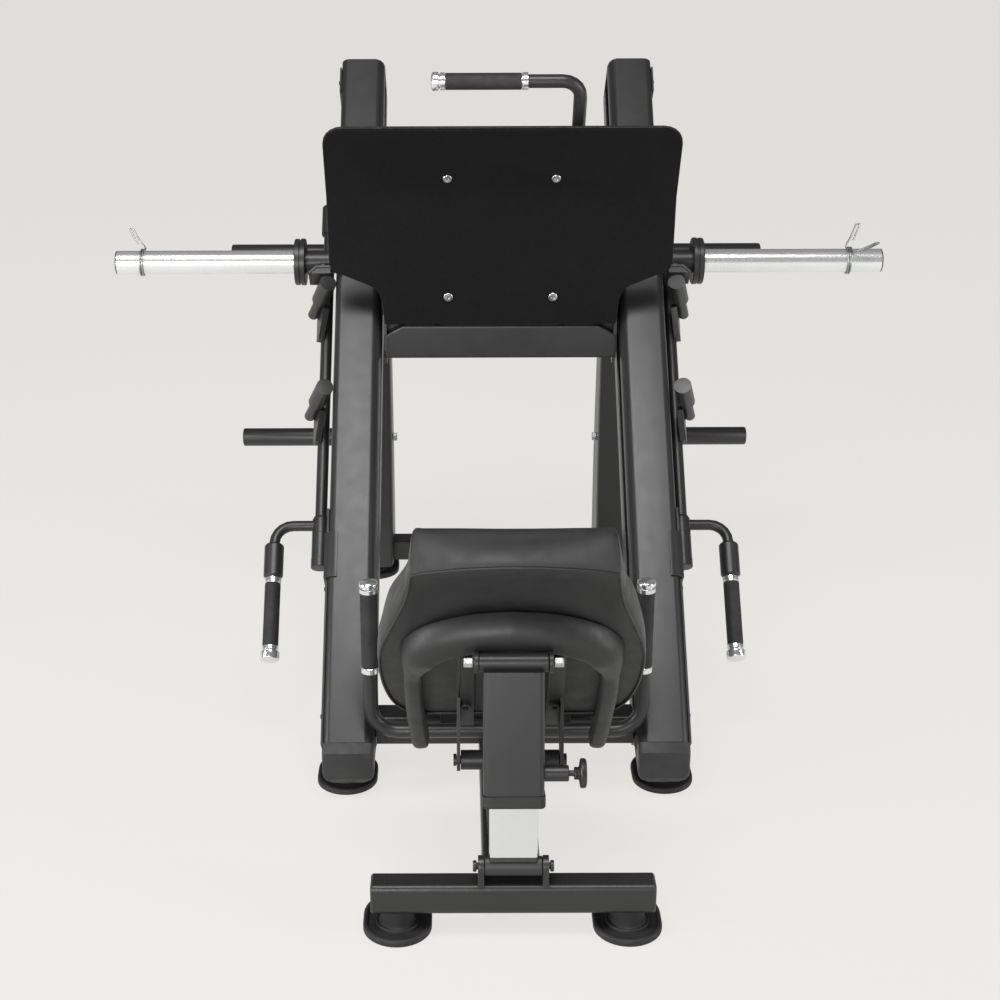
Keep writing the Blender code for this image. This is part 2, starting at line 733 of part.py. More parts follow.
def carriage_frame():
    """Sled weldment: side plates, two cross beams, bearing housings and the footplate ribs."""
    solids = []
    holes = []
    front = [(-0.2440, 0.6765), (0.2440, 0.6765), (0.2440, 0.7250), (0.2050, 0.7470), (-0.2050, 0.7470),
             (-0.2440, 0.7250)]
    rear = rectangle(1.115, 1.165, -0.060, -0.012, 0.006)
    solids.append(soft_prism(front, -1.164, -1.1185, 0.005, lambda a, b, h: world(a, -h, b)))
    solids.append(prism(rear, -0.2440, 0.2440, lambda a, b, h: on_rail(h, a, b)))
    for side in (LEFT, RIGHT):
        place = mirrored(on_rail, side)
        cheek = rounded([(0.873, -0.100), (1.166, -0.100), (1.166, -0.008), (0.918, -0.008),
                         (0.873, -0.046)], 0.004, 2)
        solids.append(prism(cheek, 0.2380, 0.2445, lambda a, b, h: place(h, a, b)))
        solids.append(block(0.2420, 0.2700, 0.992, 1.164, -0.098, -0.042, place))
        housing = rectangle(0.2620, 0.3340, -0.128, -0.012, 0.006)
        solids.append(prism(housing, 0.985, 1.165, lambda a, b, h: place(a, h, b)))
        holes.append(rod(place(ROD_X, 0.90, ROD_N), place(ROD_X, 1.25, ROD_N), ROD_R + GAP, 16))
        low = plate_point(0, 0.030, -0.0127)
        bend = fold_point(-0.0129)
        top = plate_point(0, PLATE_LOWER[1] + 0.130, -0.0127)
        back = on_rail(0, 1.160, -0.020)
        foot = on_rail(0, 0.930, -0.040)
        rib = [(p.y + HALF_LENGTH, p.z) for p in (low, bend, top, back, foot)]
        solids.append(prism(rib, side * 0.1285, side * 0.1365, lambda a, b, h: world(h, a, b)))
        solids.append(block(side * 0.2000, side * 0.2432, 1.1500, 1.1600, 0.7000, 0.7680, world))
    joined("carriage_frame", solids, holes, CHARCOAL, 0.45, 0.3)


def plate_outline():
    """Footplate outline: across, and up from the bottom edge."""
    w = PLATE_HALF
    top = PLATE_LOWER[1] + PLATE_UPPER[1]
    half = [(0.2420, 0.0), (0.2460, 0.050), (0.2515, 0.068), (0.2650, 0.084), (0.3340, 0.114),
            (0.3485, 0.1215), (w, 0.134),
            (w, PLATE_LOWER[1]), (w, top - 0.040)]
    for k in range(1, 6):
        angle = math.pi / 2 * k / 5
        half.append((w - 0.040 * (1 - math.cos(angle)), top - 0.040 * (1 - math.sin(angle))))
    return half


def bent_sheet(front, back, margin):
    """The footplate outline as a sheet between two levels, folded along the bend line."""
    half = plate_outline()
    w = PLATE_HALF
    fold = PLATE_LOWER[1]
    half = [(x - margin, min(max(u, margin), PLATE_LOWER[1] + PLATE_UPPER[1] - margin)) for x, u in half]
    right_low = [p for p in half if p[1] < fold - 1e-6]
    right_high = [p for p in half if p[1] > fold + 1e-6]
    edge = (w - margin, fold)
    bm = bmesh.new()
    def put(x, u, level):
        if abs(u - fold) < 1e-6:
            return bm.verts.new(fold_point(level) + Vector((x, 0, 0)))
        return bm.verts.new(plate_point(x, u, level))
    layers = []
    for level in (front, back):
        r_low = [put(x, u, level) for x, u in right_low]
        r_fold = put(edge[0], fold, level)
        r_high = [put(x, u, level) for x, u in right_high]
        l_low = [put(-x, u, level) for x, u in right_low]
        l_fold = put(-edge[0], fold, level)
        l_high = [put(-x, u, level) for x, u in right_high]
        layers.append((r_low, r_fold, r_high, l_low, l_fold, l_high))
        bm.faces.new(r_low + [r_fold, l_fold] + list(reversed(l_low)))
        bm.faces.new([r_fold] + r_high + list(reversed(l_high)) + [l_fold])
    loops = []
    for r_low, r_fold, r_high, l_low, l_fold, l_high in layers:
        loops.append(r_low + [r_fold] + r_high + list(reversed(l_high)) + [l_fold] + list(reversed(l_low)))
    a, b = loops
    for j in range(len(a)):
        k = (j + 1) % len(a)
        bm.faces.new((a[j], a[k], b[k], b[j]))
    return bm


def plate_bolts():
    for name, side in SIDES:
        for level, up in (("lower", 0.0621), ("upper", PLATE_LOWER[1] + 0.0526)):
            yield name + "_" + level + "_plate_bolt", side * 0.1085, up


def footplate():
    """Rubber mat on a bent steel sheet, held by four countersunk bolts."""
    layers = (("footplate_mat", 0.0, -MAT_THICK, 0.0015, RUBBER, 0.85),
              ("footplate_steel", -MAT_THICK - GAP, -STEEL_BACK, 0.0, CHARCOAL, 0.5))
    for name, front, back, margin, colour, rough in layers:
        cuts = []
        for spot in plate_bolts():
            cuts.append(rod(plate_point(spot[1], spot[2], 0.02), plate_point(spot[1], spot[2], -0.03),
                            0.0048, 10))
        joined(name, [bent_sheet(front, back, margin)], cuts, colour, rough, 0.0)
    for name, x, up in plate_bolts():
        profile = [(0, 0), (0.0090, 0.0018), (0.0090, 0.0038), (0.0045, 0.0038), (0.0045, 0.0169),
                   (0.0085, 0.0169),
                   (0.0085, 0.0230), (0, 0.0230)]
        start = plate_point(x, up, 0.0041)
        inward = plate_point(x, up, -1) - plate_point(x, up, 0)
        finish_mesh(name, turned(profile, start, inward, 10), STEEL, 0.3, 1.0)


def horn_arm(name, side):
    """Horn root with its stop flange and the padded saddle that lands on a catch."""
    place = mirrored(on_rail, side)
    outward = (side, 0, 0)
    stop = HORN_STOP[0] - 0.3343
    flange = [(0, 0), (HORN_R, 0), (HORN_R, stop), (0.0485, stop), (0.0500, stop + 0.0015),
              (0.0500, stop + 0.0095),
              (0.0470, stop + 0.0105), (0.0470, stop + 0.0125), (0.0495, stop + 0.0135),
              (0.0495, stop + 0.0215),
              (0.0480, stop + 0.0232), (0, stop + 0.0232)]
    strap = [(0.4045, 1.0320), (0.3890, 1.0495), (0.3410, 1.0495), (0.3345, 1.0320), (0.3390, 1.0320),
             (0.3440, 1.0447),
             (0.3866, 1.0447), (0.3998, 1.0320)]
    web = [(0.4042, 1.0323), (0.3888, 1.0492), (0.3565, 1.0492), (0.3565, 1.0449), (0.3868, 1.0449),
           (0.4001, 1.0323)]
    cushion = [(0.3990, 1.0316), (0.3880, 1.0462), (0.3575, 1.0462), (0.3575, 1.0316)]
    solids = [turned(flange, place(0.3343, HORN_S, HORN_N), outward, 24)]
    for outline, low, high in ((strap, 0.0020, 0.0120), (web, -0.0400, 0.0110), (cushion, -0.0390, 0.0095)):
        solids.append(prism(outline, low, high, lambda a, b, h: place(a, b, h)))
    solids.append(block(0.3720, 0.3800, 1.0475, 1.0720, -0.0600, -0.0210, place))
    joined(name, solids, [], CHARCOAL, 0.45, 0.3)


def horn_sleeve(name, side):
    """Chrome plate sleeve with a bevelled, capped end."""
    length = HORN_END - HORN_STOP[1] - GAP
    profile = [(0, 0), (HORN_R, 0), (HORN_R, length - 0.0015), (0.0235, length), (0, length)]
    start = on_rail(side * (HORN_STOP[1] + GAP), HORN_S, HORN_N)
    finish_mesh(name, turned(profile, start, (side, 0, 0), 24), CHROME, 0.1, 1.0)


def spring_clip(name, side):
    """Wire spring collar gripping the plate sleeve, with two hairpin finger loops."""
    wire = 0.0019
    inner = HORN_R + wire + 0.0009
    centre = on_rail(side * CLIP_X[name.split("_")[0]], HORN_S, HORN_N)
    pitch = 0.0050
    turns = 1.90
    steps = 36
    def spot(degrees, radius, along):
        angle = math.radians(degrees)
        return centre + Vector((side * along, -radius * math.cos(angle), radius * math.sin(angle)))
    def hairpin(degrees, along, lean, step):
        """Points out along one leg, round the tip and part of the way back beside it."""
        reach = 0.046
        back = 0.0090 * step
        tip = inner + reach
        return [spot(degrees + step * 6, inner + 0.006, along),
                spot(degrees + step * 9, inner + 0.5 * reach, along + 0.5 * lean),
                spot(degrees + step * 10, tip, along + lean),
                spot(degrees + step * 10, tip + 0.0035, along + lean + 0.0025),
                spot(degrees + step * 10, tip + 0.0040, along + lean + 0.0055),
                spot(degrees + step * 10, tip + 0.0015, along + lean + 0.0085),
                spot(degrees + step * 10, inner + 0.55 * reach, along + 0.55 * lean + 0.0085),
                spot(degrees + step * 10, inner + 0.33 * reach, along + 0.33 * lean + 0.0085)]
    first = CLIP_TURN[name.split("_")[0]]
    path = list(reversed(hairpin(first, 0.0, 0.022, 1)))
    for k in range(steps + 1):
        path.append(spot(first - 360 * turns * k / steps, inner, pitch * turns * k / steps))
    path += hairpin(first - 360 * turns, pitch * turns, 0.026, -1)
    obj = finish_mesh(name, tube_along(path, wire, 6), CHROME, 0.2, 1.0, 70)
    hang_on(obj, centre)


def sled_handle():
    """Bent grab handle beside the top of the footplate."""
    bottom = plate_point(0.1501, PLATE_LOWER[1] + 0.020, -0.045)
    corner = plate_point(0.1501, PLATE_LOWER[1] + 0.252, -0.045)
    end = Vector((0.0484, corner.y, corner.z))
    path = bent([bottom, corner, end], 0.036, 5)
    finish_mesh("sled_handle", tube_along(path, 0.0133, 12), CHARCOAL, 0.45, 0.3)
    start = end + Vector((-GAP, 0, 0))
    handle_chrome("sled_handle_chrome", start, (-1, 0, 0), 0.148)
    handle_grip("sled_handle_grip", start, (-1, 0, 0), 0.148)


# Backrest and post

def pad_outline():
    """Backrest outline: across, and down from the top seam."""
    half = smooth_line([(0.1690, 0.012), (0.1800, 0.090), (0.2050, 0.165), (0.2210, 0.215),
                        (0.2260, 0.262), (0.2210, 0.330),
                        (0.2050, 0.388), (0.1780, 0.417)], 2)
    right = [(0.1480, 0.0), (0.1620, 0.0025)] + half + [(0.1450, 0.4250)]
    left = [(-x, u) for x, u in reversed(right)]
    return right + left


def backrest_cushion():
    """Thick pear-shaped backrest pad; its rear top edge is arched and its waist swells towards the user."""
    outline = pad_outline()
    rings = []
    for out, cut in ((-0.0006, 0.0030), (-0.0040, 0.0), (-0.0300, 0.0), (-0.0680, 0.0), (-0.0800, 0.0025),
                     (-0.0870, 0.0070),
                     (-0.0900, 0.0130)):
        share = min(1.0, -out / 0.068)
        ring = []
        for a, b in inset(outline, cut):
            arch = 0.014 * (1 - share) * min(1.0, (a / 0.16) ** 2) * max(0.0, 1 - b / 0.08)
            swell = 0.010 * share * math.exp(-((b - 0.150) / 0.055) ** 2) * min(1.0, abs(a) / 0.15)
            ring.append(on_pad(a + math.copysign(swell, a), b + arch, out))
        rings.append(ring)
    obj = finish_mesh("backrest_cushion", skin(rings), GREY_PAD, 0.6, 0.0, 50)
    hang_on(obj, world(0, *RECLINE_PIVOT))


def shell_stations():
    """Centre line of the U-shaped rear moulding with its width and height."""
    line = [(-0.1575, 0.5040), (-0.1635, 0.4200), (-0.1690, 0.3400), (-0.1710, 0.2750), (-0.1620, 0.2080),
            (-0.1250, 0.1640), (-0.0650, 0.1420), (0.0, 0.1360)]
    left = [(-0.1570, 0.5120)] + smooth_line(line, 2)
    right = [(-x, u) for x, u in reversed(left[:-1])]
    return left + right


def backrest_shell():
    """U-shaped moulding standing on the back of the pad, with two free arms."""
    line = shell_stations()
    count = len(line)
    rings = []
    for i, spot in enumerate(line):
        here = Vector(spot)
        heading = (Vector(line[min(i + 1, count - 1)]) - Vector(line[max(i - 1, 0)])).normalized()
        outside = Vector((-heading.y, heading.x)) * -1.0
        crown = max(0.0, 1.0 - abs(here.x) / 0.17) ** 0.5
        if here.y > 0.22:
            crown = 0.0
        width = 0.0160 + 0.0130 * crown
        height = 0.026 + 0.018 * crown
        if i in (0, count - 1):
            width *= 0.62
            height *= 0.80
        ring = []
        for across, up in ((1.0, 0.03), (0.94, 0.36), (0.62, 0.76), (0.05, 0.98), (-0.70, 0.98),
                           (-1.0, 0.82), (-1.0, 0.04)):
            flat = here + outside * (across * width)
            ring.append(on_pad(flat.x, flat.y, 0.0012 + up * height))
        rings.append(ring)
    obj = finish_mesh("backrest_shell", skin(rings), GREY_PAD, 0.5, 0.0, 50)
    hang_on(obj, world(0, *RECLINE_PIVOT))


def ear(points, centre, radius, first, last):
    """An ear outline: straight foot points closed by a round nose."""
    outline = list(points)
    for k in range(9):
        angle = math.radians(first + (last - first) * k / 8)
        outline.append((centre[0] + radius * math.cos(angle), centre[1] + radius * math.sin(angle)))
    return outline


def backrest_frame():
    """Two mounting strips with their ears, bolts and both pivot pins."""
    solids = []
    head = pad_spot(POST_HEAD)
    foot = pad_spot(RECLINE_PIVOT)
    for side in (LEFT, RIGHT):
        place = mirrored(on_pad, side)
        solids.append(block(0.0630, 0.0920, 0.1970, 0.4570, 0.0006, 0.0060, place))
        upper = ear([(0.250, 0.001), (0.202, 0.001)], head, 0.018, 240, 20)
        lower = ear([(0.455, 0.001), (0.360, 0.001)], foot, 0.020, 150, -60)
        solids.append(prism(upper, 0.0580, 0.0640, lambda a, b, h: place(h, a, b)))
        solids.append(prism(lower, 0.0870, 0.0930, lambda a, b, h: place(h, a, b)))
        out = on_pad(0, 0, 1) - on_pad(0, 0, 0)
        for down in (0.236, 0.385):
            bolt = [(0, 0), (0.0080, 0), (0.0080, 0.0060), (0.0060, 0.0080), (0, 0.0080)]
            solids.append(turned(bolt, place(0.0775, down, 0.004), out, 8))
    for (down, out), radius, half, cap, thick in ((head, 0.006, 0.0820, 0.0072, 0.0140),
                                                  (foot, 0.008, 0.0990, 0.0110, 0.0055)):
        length = 2 * half
        pin = [(0, 0), (cap, 0), (cap, thick), (radius, thick), (radius, length - thick),
               (cap, length - thick), (cap, length),
               (0, length)]
        solids.append(turned(pin, on_pad(-half, down, out), (1, 0, 0), 12))
    obj = joined("backrest_frame", solids, [], CHARCOAL, 0.45, 0.3)
    hang_on(obj, world(0, *RECLINE_PIVOT))


POST_LENGTH = math.hypot(POST_HEAD[0] - POST_FOOT[0], POST_HEAD[1] - POST_FOOT[1])
PIN_UP = 0.158


def post_outer():
    """Outer box of the telescoping post with its cross barrel and the pull-pin housing."""
    def upward(a, b, h):
        return on_post(a, h, b)
    outside = rectangle(-0.050, 0.050, -0.025, 0.025, 0.008, 3)
    inside = rectangle(-0.0455, 0.0455, -0.0205, 0.0205, 0.004, 2)
    solids = [prism(outside, 0.1262, 0.3330, upward)]
    solids.append(rod(on_post(-0.0568, POST_LENGTH, 0), on_post(0.0568, POST_LENGTH, 0), 0.0160, 18, 0.001))
    solids.append(rod(on_post(0.046, PIN_UP, 0), on_post(0.0905, PIN_UP, 0), 0.0135, 16, 0.001))
    holes = [prism(inside, 0.1000, 0.3180, upward)]
    holes.append(rod(on_post(-0.08, POST_LENGTH, 0), on_post(0.08, POST_LENGTH, 0), 0.0088, 12))
    holes.append(rod(on_post(0.030, PIN_UP, 0), on_post(0.100, PIN_UP, 0), 0.0053, 10))
    obj = joined("post_outer", solids, holes, CHARCOAL, 0.45, 0.3)
    hang_on(obj, world(0, *POST_HEAD))


def post_collar():
    """Plastic guide bushing at the mouth of the outer box."""
    rings = []
    outside = rectangle(-0.0520, 0.0520, -0.0270, 0.0270, 0.008, 3)
    for up, cut in ((0.1050, 0.0030), (0.1080, 0.0), (0.1259, 0.0)):
        rings.append([on_post(a, up, b) for a, b in inset(outside, cut)])
    hole = prism(rectangle(-0.0404, 0.0404, -0.0164, 0.0164, 0.004, 2), 0.09, 0.14, lambda a, b,
                 h: on_post(a, h, b))
    obj = joined("post_collar", [skin(rings)], [hole], BLACK, 0.5, 0.0)
    hang_on(obj, world(0, *POST_HEAD))


def post_inner():
    """Chrome inner bar of the post with the barrel at its foot and the row of pin holes."""
    def upward(a, b, h):
        return on_post(a, h, b)
    solids = [prism(rectangle(-0.040, 0.040, -0.016, 0.016, 0.004, 2), 0.012, 0.285, upward)]
    solids.append(rod(on_post(-0.0478, 0, 0), on_post(0.0478, 0, 0), 0.0165, 16, 0.001))
    holes = [rod(on_post(-0.06, 0, 0), on_post(0.06, 0, 0), 0.0063, 12)]
    for up in (0.128, 0.158, 0.188):
        holes.append(rod(on_post(0.0310, up, 0.0002), on_post(0.060, up, 0.0002), 0.0056, 10))
    obj = joined("post_inner", solids, holes, CHROME, 0.12, 1.0)
    hang_on(obj, world(0, *POST_FOOT))


def pull_pin():
    """Sprung locking pin with its round knob."""
    profile = [(0, 0), (0.0050, 0), (0.0050, 0.0530), (0.0100, 0.0540), (0.0120, 0.0620), (0.0225, 0.0635),
               (0.0245, 0.0660),
               (0.0245, 0.0700), (0.0220, 0.0735), (0, 0.0740)]
    obj = finish_mesh("pull_pin", turned(profile, on_post(0.0458, PIN_UP, 0), (1, 0, 0), 18), BLACK, 0.4, 0.2)
    hang_on(obj, on_post(0.0458, PIN_UP, 0))


def build():
    clear_scene()
    for name, side in SIDES:
        rail_shroud(name + "_rail_shroud", side)
        rail_channel(name + "_rail_channel", side)
        guide_rod(name + "_guide_rod", side)
        side_panel(name + "_side_panel", side)
        column_foot(name + "_column_foot", side)
        rear_upright(name + "_rear_upright", side)
        floor_foot(name + "_rear_foot", side * 0.2935, 1.550, 0.0338)
        floor_foot(name + "_front_foot", side * 0.1935, 0.0580, 0.0427)
        storage_peg(name + "_lower_storage_peg", side, *PEGS[0])
        storage_peg(name + "_upper_storage_peg", side, *PEGS[1])
        shaft_bracket(name + "_shaft_bracket", side)
        top = world(side * HANDLE_X, 0.490, HANDLE_Z + GAP)
        handle_chrome(name + "_seat_handle_chrome", top, (0, 0, 1), 0.150, 0.0172, 0.006)
        handle_grip(name + "_seat_handle_grip", top, (0, 0, 1), 0.150)
        safety_shaft(name + "_safety_shaft", side, CATCH_TURN[name])
        root = on_rail(side * LEVER_X, 0.3997, SHAFT_N)
        down = on_rail(0, 0, 0) - on_rail(0, 1, 0)
        pivot = on_rail(side * SHAFT_X, BARREL_S, SHAFT_N)
        hang_on(handle_chrome(name + "_lever_chrome", root, down, 0.134, 0.0200, 0.014), pivot)
        hang_on(handle_grip(name + "_lever_grip", root, down, 0.134), pivot)
        horn_arm(name + "_horn_arm", side)
        horn_sleeve(name + "_horn_sleeve", side)
        spring_clip(name + "_spring_clip", side)
    base_frame()
    seat_cushion()
    upper_cross_tube()
    front_foot_bar()
    handlebar()
    carriage_frame()
    footplate()
    sled_handle()
    backrest_cushion()
    backrest_shell()
    backrest_frame()
    post_outer()
    post_collar()
    post_inner()
    pull_pin()


build()
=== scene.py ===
import math

import bmesh
import bpy
from mathutils import Matrix, Vector
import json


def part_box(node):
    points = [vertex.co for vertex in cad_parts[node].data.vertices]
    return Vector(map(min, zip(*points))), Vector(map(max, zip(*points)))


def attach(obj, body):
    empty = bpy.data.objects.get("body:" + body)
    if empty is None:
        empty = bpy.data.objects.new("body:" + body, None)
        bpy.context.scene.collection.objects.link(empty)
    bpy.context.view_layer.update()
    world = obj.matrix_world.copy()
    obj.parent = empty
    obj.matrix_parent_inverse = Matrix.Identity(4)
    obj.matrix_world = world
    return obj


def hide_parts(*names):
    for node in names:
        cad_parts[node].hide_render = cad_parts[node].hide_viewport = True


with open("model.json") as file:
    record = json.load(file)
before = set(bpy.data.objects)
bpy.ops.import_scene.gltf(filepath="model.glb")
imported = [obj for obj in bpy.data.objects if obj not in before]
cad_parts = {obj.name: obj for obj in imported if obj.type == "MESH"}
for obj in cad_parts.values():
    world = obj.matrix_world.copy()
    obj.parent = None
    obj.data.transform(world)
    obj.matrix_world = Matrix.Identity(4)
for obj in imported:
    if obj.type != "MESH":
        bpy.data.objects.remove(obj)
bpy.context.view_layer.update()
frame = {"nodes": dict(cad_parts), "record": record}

nodes = frame["nodes"]
joints = {joint["name"]: joint for joint in frame["record"]["behaviour"]["joints"]}
SIDES = (("left", -1), ("right", 1))

# ----------------------------------------------------------------------------------------------------------
# The welded frame: steel tube and plate, shot-blasted, welded and powder coated in one dark grey. The coat
# is baked on, so it is a little rippled on the flats, and thin and paler where boots and hands rub the edges.

COAT_GREY = (0.0165, 0.0165, 0.0168)
COAT_RUBBED = (0.075, 0.075, 0.076)
EDGE_ROUND = 0.0012
WELD_REACH = 0.00002

PAINTED_ON_FRAME = ["base_frame", "upper_cross_tube", "front_foot_bar", "seat_handlebar"]
PAINTED_ELSEWHERE = ["carriage_frame", "sled_handle", "post_outer", "backrest_frame"]
PAINTED_PAIRS = ["rail_shroud", "rail_channel", "rear_upright", "shaft_bracket", "safety_shaft", "horn_arm"]


def start_material(name, colour, roughness, metallic=0.0):
    material = bpy.data.materials.new(name)
    material.use_nodes = True
    shader = material.node_tree.nodes["Principled BSDF"]
    shader.inputs["Base Color"].default_value = (*colour, 1.0)
    shader.inputs["Roughness"].default_value = roughness
    shader.inputs["Metallic"].default_value = metallic
    return material, material.node_tree, shader


def grain(tree, scale, detail=3.0, stretch=(1.0, 1.0, 1.0)):
    """Noise that is fixed to the piece; scale is in bumps per metre."""
    place = tree.nodes.new("ShaderNodeTexCoord")
    squeeze = tree.nodes.new("ShaderNodeMapping")
    squeeze.inputs["Scale"].default_value = stretch
    tree.links.new(place.outputs["Object"], squeeze.inputs["Vector"])
    texture = tree.nodes.new("ShaderNodeTexNoise")
    texture.inputs["Scale"].default_value = scale
    texture.inputs["Detail"].default_value = detail
    tree.links.new(squeeze.outputs["Vector"], texture.inputs["Vector"])
    return texture.outputs["Fac"]


def spread(tree, value, low, high, to_low, to_high):
    ramp = tree.nodes.new("ShaderNodeMapRange")
    ramp.inputs["From Min"].default_value = low
    ramp.inputs["From Max"].default_value = high
    ramp.inputs["To Min"].default_value = to_low
    ramp.inputs["To Max"].default_value = to_high
    tree.links.new(value, ramp.inputs["Value"])
    return ramp.outputs["Result"]


def product(tree, first, second):
    times = tree.nodes.new("ShaderNodeMath")
    times.operation = "MULTIPLY"
    tree.links.new(first, times.inputs[0])
    tree.links.new(second, times.inputs[1])
    return times.outputs["Value"]


def two_tone(tree, mask, low_colour, high_colour):
    """Goes from one colour to another as the mask goes from 0 to 1; either may be another node's output."""
    mix = tree.nodes.new("ShaderNodeMix")
    mix.data_type = "RGBA"
    tree.links.new(mask, mix.inputs["Factor"])
    for colour, socket in ((low_colour, mix.inputs["A"]), (high_colour, mix.inputs["B"])):
        if isinstance(colour, tuple):
            socket.default_value = (*colour, 1.0)
        else:
            tree.links.new(colour, socket)
    return mix.outputs["Result"]


def relief(tree, shader, height, depth, strength=1.0):
    bump = tree.nodes.new("ShaderNodeBump")
    bump.inputs["Distance"].default_value = depth
    bump.inputs["Strength"].default_value = strength
    tree.links.new(height, bump.inputs["Height"])
    before = shader.inputs["Normal"].links
    if before:
        tree.links.new(before[0].from_socket, bump.inputs["Normal"])
    tree.links.new(bump.outputs["Normal"], shader.inputs["Normal"])


def rubbed_edges(tree, reach):
    """1 on outside edges and 0 on flats, broken up by noise."""
    soft = tree.nodes.new("ShaderNodeBevel")
    soft.samples = 4
    soft.inputs["Radius"].default_value = reach
    true_normal = tree.nodes.new("ShaderNodeNewGeometry")
    agree = tree.nodes.new("ShaderNodeVectorMath")
    agree.operation = "DOT_PRODUCT"
    tree.links.new(soft.outputs["Normal"], agree.inputs[0])
    tree.links.new(true_normal.outputs["Normal"], agree.inputs[1])
    edge = spread(tree, agree.outputs["Value"], 0.99, 0.80, 0.0, 1.0)
    return product(tree, edge, spread(tree, grain(tree, 70.0, 4.0), 0.42, 0.68, 0.0, 1.0))


def powder_coat(name, colour=COAT_GREY, rubbed=COAT_RUBBED, rough=0.37):
    material, tree, shader = start_material(name, colour, rough)
    dark = tuple(channel * 0.90 for channel in colour)
    light = tuple(channel * 1.12 for channel in colour)
    body_colour = two_tone(tree, spread(tree, grain(tree, 7.0), 0.3, 0.7, 0.0, 1.0), dark, light)
    coat = two_tone(tree, rubbed_edges(tree, 0.0022), body_colour, rubbed)
    tree.links.new(coat, shader.inputs["Base Color"])
    tree.links.new(spread(tree, grain(tree, 35.0), 0.3, 0.7, rough - 0.02, rough + 0.03),
                   shader.inputs["Roughness"])
    relief(tree, shader, grain(tree, 700.0, 2.0), 0.00008, 0.35)
    relief(tree, shader, grain(tree, 120.0, 1.0), 0.00008, 0.12)
    return material


def dress(node, material, edge=EDGE_ROUND, limit=32.0):
    """Gives a carried-over node its finish, welds its facets for shading and rounds its edges."""
    piece = nodes[node]
    piece.data.materials.clear()
    piece.data.materials.append(material)
    if "custom_normal" in piece.data.attributes:
        piece.data.attributes.remove(piece.data.attributes["custom_normal"])
    for name in ("sharp_edge", "sharp_face"):
        if name in piece.data.attributes:
            piece.data.attributes.remove(piece.data.attributes[name])
    for polygon in piece.data.polygons:
        polygon.use_smooth = True
    weld = piece.modifiers.new("weld", "WELD")
    weld.merge_threshold = WELD_REACH
    flats = piece.modifiers.new("flats", "DECIMATE")
    flats.decimate_type = "DISSOLVE"
    flats.angle_limit = math.radians(0.4)
    round_over = piece.modifiers.new("round", "BEVEL")
    round_over.width = edge
    round_over.segments = 2
    round_over.limit_method = "ANGLE"
    round_over.angle_limit = math.radians(limit)
    shade = piece.modifiers.new("shade", "WEIGHTED_NORMAL")
    shade.keep_sharp = True
    return piece


frame_coat = powder_coat("charcoal_powder_coat")
for node in PAINTED_ON_FRAME + PAINTED_ELSEWHERE:
    dress(node, frame_coat)
for side_name, side in SIDES:
    for part in PAINTED_PAIRS:
        dress(f"{side_name}_{part}", frame_coat)

# ----------------------------------------------------------------------------------------------------------
# The two outer side covers: thin pressed sheets in matt black, screwed on over the outside of each column.
# They hide the guide rods, which are ground, hardened and plated steel, oiled and bright.

COVER_BLACK = (0.0075, 0.0075, 0.0078)
ROD_METAL = (0.72, 0.73, 0.74)


def matt_black(name, colour=COVER_BLACK, rough=0.52):
    material, tree, shader = start_material(name, colour, rough)
    lighter = tuple(channel * 1.6 for channel in colour)
    tree.links.new(two_tone(tree, spread(tree, grain(tree, 9.0), 0.3, 0.7, 0.0, 1.0), colour, lighter),
                   shader.inputs["Base Color"])
    tree.links.new(spread(tree, grain(tree, 50.0), 0.3, 0.7, rough - 0.06, rough + 0.08),
                   shader.inputs["Roughness"])
    relief(tree, shader, grain(tree, 1100.0, 2.0), 0.0001, 0.5)
    return material


def bright_plate(name, colour, rough, along, metallic=1.0):
    """Plated steel with fine polishing lines round the piece; along is the piece's long axis."""
    material, tree, shader = start_material(name, colour, rough, metallic)
    lines = grain(tree, 260.0, 3.0, along)
    tree.links.new(spread(tree, lines, 0.25, 0.75, rough * 0.6, rough * 1.5), shader.inputs["Roughness"])
    cloudy = tuple(channel * 0.93 for channel in colour)
    tree.links.new(two_tone(tree, spread(tree, grain(tree, 14.0), 0.35, 0.7, 0.0, 1.0), colour, cloudy),
                   shader.inputs["Base Color"])
    relief(tree, shader, lines, 0.00002, 0.10)
    return material


cover_black = matt_black("side_cover_black")
rod_plate = bright_plate("ground_rod_plate", ROD_METAL, 0.14, (0.3, 1.0, 1.0))
for side_name, side in SIDES:
    dress(f"{side_name}_side_panel", cover_black, 0.0007)
    dress(f"{side_name}_guide_rod", rod_plate, 0.0005)

# ----------------------------------------------------------------------------------------------------------
# Feet: six oblong pads of moulded black rubber. Each has a raised lip round its rim and a round cup that the
# tube above is pressed into. The two under the columns carry a moulded boot that closes the column's end.

RUBBER_BLACK = (0.0070, 0.0070, 0.0073)
BOOT_GREY = (0.0150, 0.0150, 0.0155)
PAD_THICK = 0.0120
BOOT_ROUND = 0.020
FOOT_SIDES = 20


def worn_rubber(name, colour=RUBBER_BLACK, rough=0.62, pores=800.0):
    material, tree, shader = start_material(name, colour, rough)
    dusty = tuple(channel * 1.9 for channel in colour)
    tree.links.new(two_tone(tree, spread(tree, grain(tree, 18.0, 5.0), 0.42, 0.80, 0.0, 1.0), colour, dusty),
                   shader.inputs["Base Color"])
    tree.links.new(spread(tree, grain(tree, 60.0), 0.3, 0.7, rough - 0.08, rough + 0.1),
                   shader.inputs["Roughness"])
    relief(tree, shader, grain(tree, pores, 2.0), 0.0002, 0.5)
    return material


def lofted(rings, capped=True):
    """A skin through rings of points that all have the same count."""
    skin = bmesh.new()
    made = [[skin.verts.new(point) for point in ring] for ring in rings]
    for below, above in zip(made, made[1:]):
        for here in range(len(below)):
            after = (here + 1) % len(below)
            skin.faces.new((below[here], below[after], above[after], above[here]))
    if capped:
        skin.faces.new(list(reversed(made[0])))
        skin.faces.new(made[-1])
    return skin


